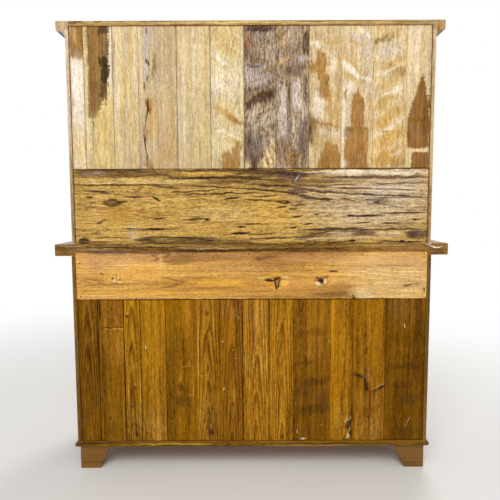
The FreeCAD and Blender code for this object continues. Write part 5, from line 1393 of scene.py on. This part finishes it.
def spalted_face(number, rows):
    """Ochre timber with fine lying fibres, wandering zone lines and the plank's own marks."""
    material, tree = new_material(f"spalted_plank_{number}")
    place = put(tree, "ShaderNodeTexCoord").outputs["Object"]
    turned = put(tree, "ShaderNodeMapping", {"Vector": place, "Rotation": GRAIN_TURN["X"]}).outputs[0]
    tone, height = fibre_layers(tree, turned, *SPALTED_FIBRE)
    marked = lay_marks(tree, place, paint(*SPALTED_TINT), rows, LYING_FRAY)
    zone = place_group(tree, ZONE_LINES, Vector=place)["Mask"]
    line = reckon(tree, "MULTIPLY", zone, ZONE_STRENGTH)
    marked = blend_colours(tree, line, marked, paint(*PAINTS["bark"]))
    marked = shaded_and_dirty_rim(tree, place, marked, spalted_low, spalted_high, SPALTED_RIM_SHADE_AND_DIRT)
    back = place_group(tree, ROUGH_BACK, Vector=place, Face=spalted_high.y, Tone=tone)
    colour = blend_colours(tree, back["Mask"], paint(*SPALTED_INSIDE), marked)
    sawn_surface(tree, colour, back["Tone"], height, SPALTED_SHADES, SPALTED_GLOSS, SPALTED_SHINE)
    return material


mark_spans(spalted_plank, SPALTED_SPANS, SPALTED_MARKS, spalted_face)
take_place(spalted_plank, "upper_back_plank")

# Strengths of broad tone, streaks, dashes, specks and saw lines, and how far the fibres wave
TEXTURES = {
    "straight": (0.03, 0.09, 0.12, 0.09, 0.02, 0.005),
    "curly": (0.05, 0.08, 0.16, 0.12, 0.02, 0.018),
    "torn": (0.1, 0.14, 0.34, 0.22, 0.0, 0.05),
}
# The boards in the same way, with a texture where a stained board has its cut
# Thirteen marks are broad tones, set where mean tones of render and photograph were measured to differ
UPPER_BOARDS = (
    (61, (232, 215, 192), "straight", 0.0009, (
        up(79.5, 41, 8, 17.5, "amber", 1, "patch"), up(78.5, 52, 5.4, 6, "umber", 0.5, "blot"),
        up(84.5, 36, 1.2, 11, "umber", 0.6, "frayed"), up(79, 41, 8, 15, "drab", 0.4, "patch"),
        up(76, 34, 2, 9, "gold", 0.5, "frayed"), up(80.5, 82, 6, 22, "chalk", 0.9, "soft"),
        up(73.6, 100, 0.7, 66, "taupe", 0.5, "frayed"), up(80, 148, 9, 26, "straw", 0.75, "soft"),
        up(86.6, 148, 1.4, 9, "honey", 0.8, "soft"),
    )),
    (132, (220, 197, 139), "straight", 0.0011, (
        up(112.5, 56, 2.2, 40, "chalk", 0.7, "frayed"), up(100, 53, 11.2, 34, "drab", 1, "sawn"),
        up(97.4, 100, 5.4, 18, "drab", 1, "sawn", 10, 11), up(106, 29, 5, 4.2, "soot", 0.75, "blot"),
        up(105, 63, 5.4, 5.8, "soot", 0.95, "blot"), up(107.4, 74, 4.2, 8.8, "soot", 0.95, "blot"),
        up(105.6, 91, 3.2, 6.4, "bark", 0.8, "blot"), up(109.6, 44, 1.4, 14, "bark", 0.6, "frayed"),
        up(107.6, 100, 1.8, 6, "umber", 0.7, "sawn"), up(98, 50, 3, 26, "amber", 0.35, "frayed"),
        up(103, 45, 1.2, 20, "umber", 0.35, "frayed"), up(95.4, 123, 0.7, 9, "soot", 0.8, "crack"),
        up(94.6, 140, 0.5, 16, "umber", 0.5, "crack"), up(104, 128, 5.4, 17, "honey", 0.6, "frayed"),
        up(98, 150, 2, 12, "honey", 0.6, "frayed"), up(90.6, 142, 1.4, 26, "chalk", 0.5, "frayed"),
        up(100, 163, 12, 7, "gold", 0.6, "soft"), up(92, 160, 1.6, 9, "tan", 0.7, "frayed"),
        up(101, 124, 11, 11, "straw", 0.35, "soft"),
    )),
    (116, (212, 189, 141), "straight", 0.0007, (
        up(118.4, 70, 2.4, 60, "chalk", 0.45, "frayed"), up(127.3, 50, 1.1, 26, "lilac", 0.7, "frayed"),
        up(132, 46, 2.4, 17, "ochre", 0.5, "frayed"), up(132, 90, 2.6, 50, "gold", 0.6, "frayed"),
        up(136.6, 70, 0.8, 30, "chalk", 0.35, "frayed"), up(123, 122, 4, 16, "tan", 0.45, "frayed"),
        up(136.4, 122, 1.3, 22, "tan", 0.8, "frayed"), up(116.4, 47, 0.8, 5, "taupe", 0.9, "frayed"),
        up(116, 57, 0.6, 6, "taupe", 0.8, "frayed"), up(124, 60, 2.6, 40, "straw", 0.5, "frayed"),
        up(131, 152, 0.9, 14, "tan", 0.6, "frayed"), up(121, 158, 4, 9, "gold", 0.5, "soft"),
        up(128.6, 115, 0.7, 20, "lilac", 0.6, "frayed"),
    )),
    (174, (203, 181, 143), "straight", 0.0028, (
        up(168, 100, 10.5, 70, "tan", 0.4, "frayed"), up(148, 52, 4.4, 26, "lilac", 0.6, "frayed"),
        up(143, 60, 1.6, 40, "cream", 0.6, "frayed"), up(169, 142, 9, 27, "clay", 0.3, "soft"),
        up(163.4, 154, 2.4, 10, "rust", 0.4, "soft"), up(175.6, 130, 1.2, 36, "honey", 0.6, "frayed"),
        up(148.2, 61.4, 1, 2.6, "plum", 1, "lens"), up(150.6, 63.6, 1, 3, "plum", 1, "lens"),
        up(149.6, 78, 0.8, 3.4, "plum", 0.9, "lens", 8), up(146.4, 86, 1, 4.5, "bark", 0.9, "lens"),
        up(148.3, 31, 0.9, 3, "plum", 0.8, "lens"), up(156.4, 61, 1.9, 9, "olive", 0.9, "lens", 0, 0.9),
        up(155, 70, 0.9, 7, "olive", 0.9, "crack"), up(158, 70, 0.8, 6, "olive", 0.8, "crack"),
        up(154.6, 76, 1.4, 4, "olive", 0.5, "lens"), up(154.4, 120, 4.6, 20, "honey", 0.8, "frayed"),
        up(152, 107, 2.4, 6, "clay", 0.9, "frayed"), up(156, 127, 2, 12, "gold", 0.7, "frayed"),
        up(154, 150, 4, 10, "fawn", 0.8, "frayed"), up(156.6, 163, 3, 4, "saffron", 0.5, "soft"),
        up(150, 165, 4.6, 4, "brown", 0.7, "frayed"), up(159.6, 138, 0.6, 28, "taupe", 0.8, "crack"),
        up(150, 105, 1.7, 7, "brick", 0.9, "frayed", -6),
        up(149.7, 104.6, 0.8, 6, "soot", 0.9, "lens", -4),
        up(149, 112.6, 0.9, 5, "soot", 0.9, "lens", 16), up(147.8, 120, 0.8, 6, "bark", 1, "lens", 8),
        up(146.8, 128, 0.9, 6, "bark", 1, "lens", 8), up(147.4, 134, 2, 8, "brick", 0.7, "frayed"),
        up(146.3, 138, 1, 7, "bark", 1, "lens", 2), up(147, 147, 0.8, 6, "bark", 0.95, "lens", -8),
        up(148, 154, 0.8, 5, "bark", 0.95, "lens", -8), up(148.8, 158, 1.2, 3.4, "soot", 1, "lens"),
        up(148.8, 164.4, 0.8, 4, "bark", 0.9, "lens"), up(146.6, 112, 1.2, 26, "tan", 0.6, "frayed"),
        up(171, 60, 0.7, 34, "taupe", 0.5, "frayed"), up(164, 86, 1.2, 40, "straw", 0.5, "frayed"),
        up(178, 90, 0.8, 50, "chalk", 0.5, "frayed"), up(160, 159, 16, 10, "honey", 0.36, "soft"),
    )),
    (153, (213, 190, 143), "straight", 0.0013, (
        up(202, 152, 1.5, 14, "taupe", 0.6, "frayed"), up(186, 95, 2.2, 60, "chalk", 0.35, "frayed"),
        up(196, 60, 1.2, 36, "chalk", 0.4, "frayed"), up(205, 115, 1.3, 30, "gold", 0.4, "frayed"),
        up(190, 130, 1.4, 34, "tan", 0.3, "frayed"), up(209, 80, 1.2, 50, "tan", 0.35, "frayed"),
        up(195, 35, 14, 11, "tan", 0.42, "soft"), up(195, 159, 14, 9, "gold", 0.3, "soft"),
    )),
    (151, (216, 196, 152), "curly", 0.0006, (
        band(226, 31, 18, 9, "gold", 0.5, "soft", -10), band(228, 40, 18, 4.2, "gold", 0.7, "flame", -20),
        band(233, 51, 15, 3.2, "honey", 0.65, "flame", -32),
        band(222, 60, 12, 2, "chalk", 0.7, "flame", -28), up(227, 84, 13, 14, "chalk", 0.5, "soft"),
        band(222, 79, 11, 1.4, "gold", 0.45, "flame", -26),
        band(229, 105, 17, 2.2, "straw", 0.5, "flame", -28),
        band(228.5, 115, 16, 2.8, "honey", 0.9, "flame", -32, 4.4),
        band(236, 120, 9, 2.6, "ochre", 0.9, "flame", -26),
        band(222, 108, 8, 2, "honey", 0.6, "flame", -36),
        band(229, 134, 13, 2.2, "chalk", 0.6, "flame", -24),
        band(239, 142, 7, 3.4, "honey", 0.7, "flame", -30),
        up(228, 160, 8.6, 10, "ochre", 0.95, "blot", 0, 5.4),
        up(238.6, 156, 5.6, 13, "ochre", 0.9, "blot", 8, 4), up(233, 165, 9, 4.6, "rust", 0.7, "blot"),
        band(217, 165, 5, 3, "straw", 0.6, "soft"), up(228, 35, 14, 12, "tan", 0.46, "soft"),
    )),
    (147, (156, 133, 106), "torn", 0.0008, (
        up(254, 36, 8, 9, "lilac", 0.4, "frayed"), up(268, 46, 8, 16, "fawn", 0.35, "frayed"),
        band(261, 28, 17, 3.4, "plum", 0.95, "frayed"), band(262, 29.5, 13, 1.1, "soot", 0.7, "frayed"),
        up(249.6, 41, 4.4, 9, "brick", 0.9, "frayed"), up(246.6, 52, 2, 9, "bark", 0.7, "frayed"),
        up(257, 52, 3, 8, "taupe", 0.6, "frayed"), up(258, 76, 12.5, 11, "lilac", 0.85, "frayed"),
        band(252, 65, 8, 0.9, "plum", 0.9, "flame"), band(270, 70, 7, 2.2, "olive", 0.9, "flame", 28),
        band(262, 86, 16, 2.4, "plum", 0.5, "flame", 24),
        band(261, 93.4, 18, 1.3, "honey", 0.6, "flame", 27),
        band(264, 97, 17, 4.2, "bark", 1, "flame", 26, 6.4), up(249, 104, 3.2, 4, "bark", 0.8, "flame"),
        up(261, 116, 15, 9, "fawn", 0.7, "frayed"), band(266, 113, 12, 1.4, "umber", 0.8, "flame", 28),
        band(257, 121, 9, 1.2, "umber", 0.7, "flame", 30),
        band(268, 128, 9, 1.2, "umber", 0.6, "flame", 34), up(255, 148, 10.5, 14, "plum", 0.75, "frayed"),
        up(250, 140, 3.4, 7, "bark", 0.6, "frayed"), band(263, 138, 10, 1.6, "bark", 0.7, "flame", 38),
        up(271.6, 154, 9, 16, "cream", 0.8, "frayed", 14, 0.6),
        band(248.5, 166.3, 5, 3, "cream", 0.7, "soft"), up(256.6, 163.5, 3.2, 6, "bark", 0.9, "frayed"),
        up(261, 36, 14, 10, "plum", 0.3, "soft"), up(261, 72, 14, 10, "plum", 0.34, "soft"),
        up(261, 130, 13, 18, "lilac", 0.24, "soft"),
    )),
    (150, (162, 139, 114), "torn", 0.001, (
        up(298, 40, 8, 16, "taupe", 0.5, "frayed"), up(282, 37, 4.6, 10, "tan", 0.8, "frayed"),
        up(292, 34, 2, 8, "fawn", 0.6, "frayed"), band(284, 60, 9, 3, "tan", 0.95, "flame", 40),
        band(292, 53, 7, 1.4, "umber", 0.6, "flame", 30),
        band(295.6, 69.6, 11, 5.4, "plum", 0.8, "flame", 20), up(307, 43, 3, 11, "bark", 0.95, "frayed"),
        band(304, 58, 6, 1.8, "lilac", 0.8, "flame", 10), up(298, 95, 4.6, 13, "lilac", 0.8, "frayed"),
        up(283, 108, 4.4, 26, "lilac", 0.6, "frayed"), up(290.4, 112, 1.8, 32, "plum", 0.7, "frayed"),
        up(303.6, 102, 1.6, 16, "fawn", 0.8, "frayed"), up(306.6, 88, 1.4, 14, "plum", 0.6, "frayed"),
        up(279, 140, 1.4, 20, "umber", 0.6, "frayed"),
        up(304.6, 138, 6.4, 18, "bark", 0.75, "frayed", 0, 4),
        up(288, 152, 7, 14, "umber", 0.75, "frayed"), up(298, 160, 8, 8, "umber", 0.8, "frayed"),
        up(294, 132, 1.2, 16, "fawn", 0.8, "frayed"), up(284.6, 160, 1, 8, "fawn", 0.6, "frayed"),
        up(302, 162, 0.8, 6, "fawn", 0.6, "frayed"), up(293, 54, 13, 10, "plum", 0.2, "soft"),
        up(293, 126, 12, 16, "lilac", 0.2, "soft"), up(293, 159, 13, 9, "ochre", 0.22, "soft"),
    )),
    (147, (211, 187, 146), "curly", 0.0005, (
        up(325, 36, 15, 11, "tan", 0.5, "frayed"), band(334, 41, 8, 2.6, "honey", 0.8, "flame", 6),
        band(318, 44, 7, 2, "chalk", 0.6, "flame", -20), up(339, 90, 2.4, 44, "honey", 0.6, "frayed"),
        up(321.6, 61, 5.6, 10.6, "ochre", 1, "blot", -6, 4),
        up(315.6, 66, 4.6, 4.6, "ochre", 0.95, "blot", -30), up(324, 70.6, 4, 3.6, "amber", 0.85, "blot"),
        up(325.4, 86, 5.8, 12.4, "ochre", 1, "patch", 0, 5.4),
        up(330.8, 104, 2.8, 15, "honey", 0.9, "blot"), up(320, 80, 8, 20, "honey", 0.12, "soft"),
        up(320, 106, 6, 11, "chalk", 0.75, "soft"), up(334, 62, 4, 10, "chalk", 0.4, "frayed"),
        up(312.4, 131, 4.6, 14, "umber", 0.95, "frayed", 12),
        up(310.6, 130, 2, 10, "bark", 0.6, "frayed", 8), up(311.6, 118, 1.4, 8, "olive", 0.8, "frayed"),
        band(326, 124, 12, 1.6, "ochre", 0.95, "flame", -12), up(336, 116, 5, 9, "honey", 0.7, "frayed"),
        band(330, 133, 11, 3.2, "chalk", 0.6, "flame", -14), up(330, 143, 8, 5, "straw", 0.6, "frayed"),
        up(332, 156, 16, 14, "ochre", 1, "patch", 0, 5), up(327, 161, 6.4, 8, "rust", 0.6, "blot"),
        up(317, 154, 1, 14, "gold", 0.8, "frayed"), up(318.5, 36, 5.5, 4.6, "olive", 0.42, "blot"),
        up(324.5, 86, 5.8, 9, "drab", 0.4, "patch"), up(325, 136, 13, 15, "ochre", 0.36, "soft"),
    )),
    (146, (214, 190, 149), "curly", 0.0006, (
        band(357, 35.5, 13, 2.4, "lilac", 0.85, "flame", -27),
        band(366, 33, 8, 1.8, "chalk", 0.55, "flame", -30),
        band(360, 43, 11, 2.2, "honey", 0.45, "flame", -27), up(367, 51, 5.6, 6, "lilac", 0.5, "soft"),
        up(349, 50, 6, 12, "tan", 0.6, "flame"), band(352, 64, 12, 2.2, "honey", 0.75, "flame", -34),
        band(352, 70, 12, 2.6, "chalk", 0.95, "flame", -38),
        band(350.5, 76.6, 9, 2.4, "honey", 0.85, "flame", -34), up(350, 87, 6, 5, "chalk", 0.7, "soft"),
        up(346.6, 93.4, 3.2, 2.8, "ochre", 0.95, "blot"), up(366, 80, 5, 8, "tan", 0.5, "flame"),
        up(370, 112, 2.8, 18, "honey", 0.6, "frayed"), up(360.6, 98, 5, 7.4, "rust", 1, "blot", 0, 3.6),
        up(358.8, 114, 6.8, 15, "rust", 1, "patch"), up(357.6, 148, 12.2, 20.6, "rust", 1, "sharp"),
        up(351, 128.6, 5, 3.4, "umber", 0.5, "blot"), up(347.6, 133, 2.6, 4.6, "taupe", 0.9, "frayed"),
        up(344.4, 120, 1.6, 26, "chalk", 0.7, "soft"), up(370.6, 150, 1.8, 16, "straw", 0.8, "frayed"),
        up(346, 164, 2.4, 4, "chalk", 0.7, "soft"), up(357, 156, 7, 10, "brick", 0.3, "soft"),
        band(366, 78.5, 9, 1.8, "chalk", 0.7, "flame", -24),
    )),
    (151, (218, 192, 143), "curly", 0.0006, (
        band(386, 31, 12, 3.4, "straw", 0.6, "flame", 26),
        band(384.7, 38.6, 11, 2.8, "olive", 0.75, "flame", 28),
        band(397, 34, 9, 2.6, "honey", 0.6, "flame", 26), up(390, 50, 13, 9, "chalk", 0.35, "soft"),
        band(394, 62, 14, 2.6, "honey", 0.8, "flame", 26),
        band(401, 71, 7, 4.4, "ochre", 0.85, "flame", 14), band(384, 72, 9, 2, "chalk", 0.7, "flame", 22),
        band(388, 84, 15, 2.8, "honey", 0.6, "flame", 28),
        band(392, 92, 15, 2.2, "chalk", 0.7, "flame", 28),
        band(384, 102, 12, 4.4, "honey", 0.95, "flame", 31),
        band(398, 100, 9, 2.2, "straw", 0.7, "flame", 30),
        band(390, 117.4, 18, 4.6, "honey", 1, "flame", 31),
        band(392, 126.4, 17, 1.8, "chalk", 0.8, "flame", 30),
        band(387.9, 132.4, 2.8, 1.4, "taupe", 0.9, "flame"),
        band(391, 138, 18, 5.2, "honey", 1, "flame", 30),
        band(394, 147.6, 16, 1.8, "cream", 0.8, "flame", 28),
        band(388, 158, 18, 7, "honey", 1, "flame", 20), band(401, 163, 8, 3.4, "ochre", 0.8, "flame", 16),
        band(390, 158, 16, 8, "tawny", 0.25, "soft", 20),
        band(399, 153, 9, 1.8, "chalk", 0.6, "flame", 22),
        band(381, 39.5, 5.5, 1.8, "olive", 0.9, "flame", 40),
        band(390.6, 38.6, 5, 1.5, "olive", 0.85, "flame", 34),
        band(384, 33, 6, 1.2, "olive", 0.5, "flame", 34),
        band(389, 51, 10, 4.4, "lilac", 0.55, "flame", 22), up(390, 142, 15, 26, "saffron", 0.2, "soft"),
    )),
    (111, (222, 199, 154), "straight", 0.001, (
        up(416, 50, 4, 26, "chalk", 0.5, "soft"), up(411, 80, 2, 40, "straw", 0.5, "frayed"),
        up(421.5, 97.5, 12.8, 24, "earth", 1, "sawn", 5, 1.4),
        up(419.6, 133.4, 13, 15, "earth", 1, "sawn"),
        up(428.6, 110, 3.8, 22, "earth", 1, "sawn", 3, 1.4),
        up(424.6, 116, 2, 24, "bark", 0.35, "frayed", 3), up(416, 130, 1.6, 20, "bark", 0.25, "frayed"),
        band(418, 150.6, 11, 1.2, "cream", 1, "sharp"), up(421, 161.2, 9.8, 9, "earth", 1, "sawn"),
        up(409.4, 160, 2, 9, "straw", 0.7, "soft"), up(430.6, 162, 1.4, 8, "honey", 0.6, "soft"),
        up(431.2, 100, 1, 60, "taupe", 0.5, "frayed"),
    )),
)


BOARD_SHIFT = (0.37, 0.11, 0.53)
WARM_STREAKS = (34.0, 34.0, 2.2)
WARM_HUES = ((0.97, 0.97, 1.1, 1.0), (1.03, 1.0, 0.84, 1.0))
# How strongly painted shade and dirt darken the rims of the pale boards
PALE_RIM_SHADE_AND_DIRT = 0.42
PALE_SHADES = ((0.4, 0.33, 0.24, 1.0), (1.6, 1.67, 1.76, 1.0))
PALE_GLOSS = (-0.1, 0.75)
PALE_SHINE = 0.1


def pale_face(number, tint, texture, marks, low, high):
    """A pale board, straight off the saw: streaks, short dashes and its own marks."""
    rows = noted("upper_back_boards", "upper_sides", marks)
    material, tree = new_material(f"pale_board_{number}")
    place = put(tree, "ShaderNodeTexCoord").outputs["Object"]
    shift = [number * step for step in BOARD_SHIFT]
    own = put(tree, "ShaderNodeVectorMath", {0: place, 1: shift}, operation="ADD").outputs[0]
    tone, height = fibre_layers(tree, own, *TEXTURES[texture])
    warm = stark_noise(tree, own, WARM_STREAKS, 3, 0.6)
    bare = blend_colours(tree, 1.0, paint(*tint), blend_colours(tree, warm, *WARM_HUES), "MULTIPLY")
    marked = lay_marks(tree, place, bare, rows, UPRIGHT_FRAY)
    marked = shaded_and_dirty_rim(tree, place, marked, low, high, PALE_RIM_SHADE_AND_DIRT)
    back = place_group(tree, ROUGH_BACK, Vector=place, Face=high[1], Tone=tone)
    colour = blend_colours(tree, back["Mask"], bare, marked)
    sawn_surface(tree, colour, back["Tone"], height, PALE_SHADES, PALE_GLOSS, PALE_SHINE)
    return material


board_row("upper_back_boards", "upper_board", UPPER_BOARDS, pale_face)

# Doors and drawers: frames of stiles and rails round fielded panels or panes held by beads, and
# drawers dovetailed from thin stock behind a solid front.
BAYS = ("left", "centre", "right")
BOX_EDGE = 0.0005
for bay in BAYS:
    soften(f"base_door_{bay}_frame", FRONT_WOOD)
    soften(f"base_door_{bay}_panel", FRONT_WOOD)
    soften(f"glazed_door_{bay}_frame", FRONT_WOOD)
    soften(f"glazed_door_{bay}_beads", FRONT_WOOD, 0)
    soften(f"drawer_{bay}_front", FRONT_WOOD)
    soften(f"drawer_{bay}_box", INSIDE_WOOD, BOX_EDGE)

# Knobs: turned from dark waxed hardwood, one to each door and drawer, with a spigot that is glued
# into a hole in its front.
KNOB_WOOD = timber("knob_wood", "Y", (128, 76, 30), (76, 42, 14), rough=0.32, knots=0.0, wax=0.3)


def dress(node, material):
    """Gives a node that stays as it is a better finish."""
    mesh = frame["nodes"][node].data
    mesh.materials.clear()
    mesh.materials.append(material)


for bay in BAYS:
    for row in ("base_door", "glazed_door", "drawer"):
        dress(f"{row}_{bay}_knob", KNOB_WOOD)

# Clear glass panes, hinges, hinge pins and shelf pins of aged brass, and magnetic catches of brown
# plastic. Hinge leaves and catches are screwed on, pins stand in their holes and panes in rebates.
TARNISH_SPOTS = (120.0, 120.0, 120.0)
TARNISH_ROUGH = (0.3, 0.22)
PLASTIC_GRAIN = (900.0, 900.0, 900.0)
glass_material, glass_tree = new_material("door_glass")
surface(glass_tree, Base_Color=paint(244, 250, 248), Roughness=0.02, IOR=1.5, Transmission_Weight=1.0)
brass_material, brass_tree = new_material("aged_brass")
brass_place = put(brass_tree, "ShaderNodeTexCoord").outputs["Object"]
tarnish = drawn_noise(brass_tree, brass_place, TARNISH_SPOTS, 4, 0.6)
brass_colour = blend_colours(brass_tree, tarnish, paint(214, 178, 104), paint(128, 96, 48))
brass_rough = reckon(brass_tree, "MULTIPLY_ADD", tarnish, *TARNISH_ROUGH)
surface(brass_tree, Base_Color=brass_colour, Metallic=1.0, Roughness=brass_rough)
catch_material, catch_tree = new_material("catch_plastic")
catch_place = put(catch_tree, "ShaderNodeTexCoord").outputs["Object"]
catch_grain = drawn_noise(catch_tree, catch_place, PLASTIC_GRAIN, 2)
catch_colour = blend_colours(catch_tree, catch_grain, paint(92, 64, 42), paint(74, 50, 32))
surface(catch_tree, Base_Color=catch_colour, Roughness=0.5)

for bay in BAYS:
    dress(f"base_door_{bay}_hardware", brass_material)
    dress(f"glazed_door_{bay}_hardware", brass_material)
    dress(f"glazed_door_{bay}_glass", glass_material)
for node in ("hinge_frame_leaves", "hinge_pins", "shelf_pins"):
    dress(node, brass_material)
dress("door_catches", catch_material)
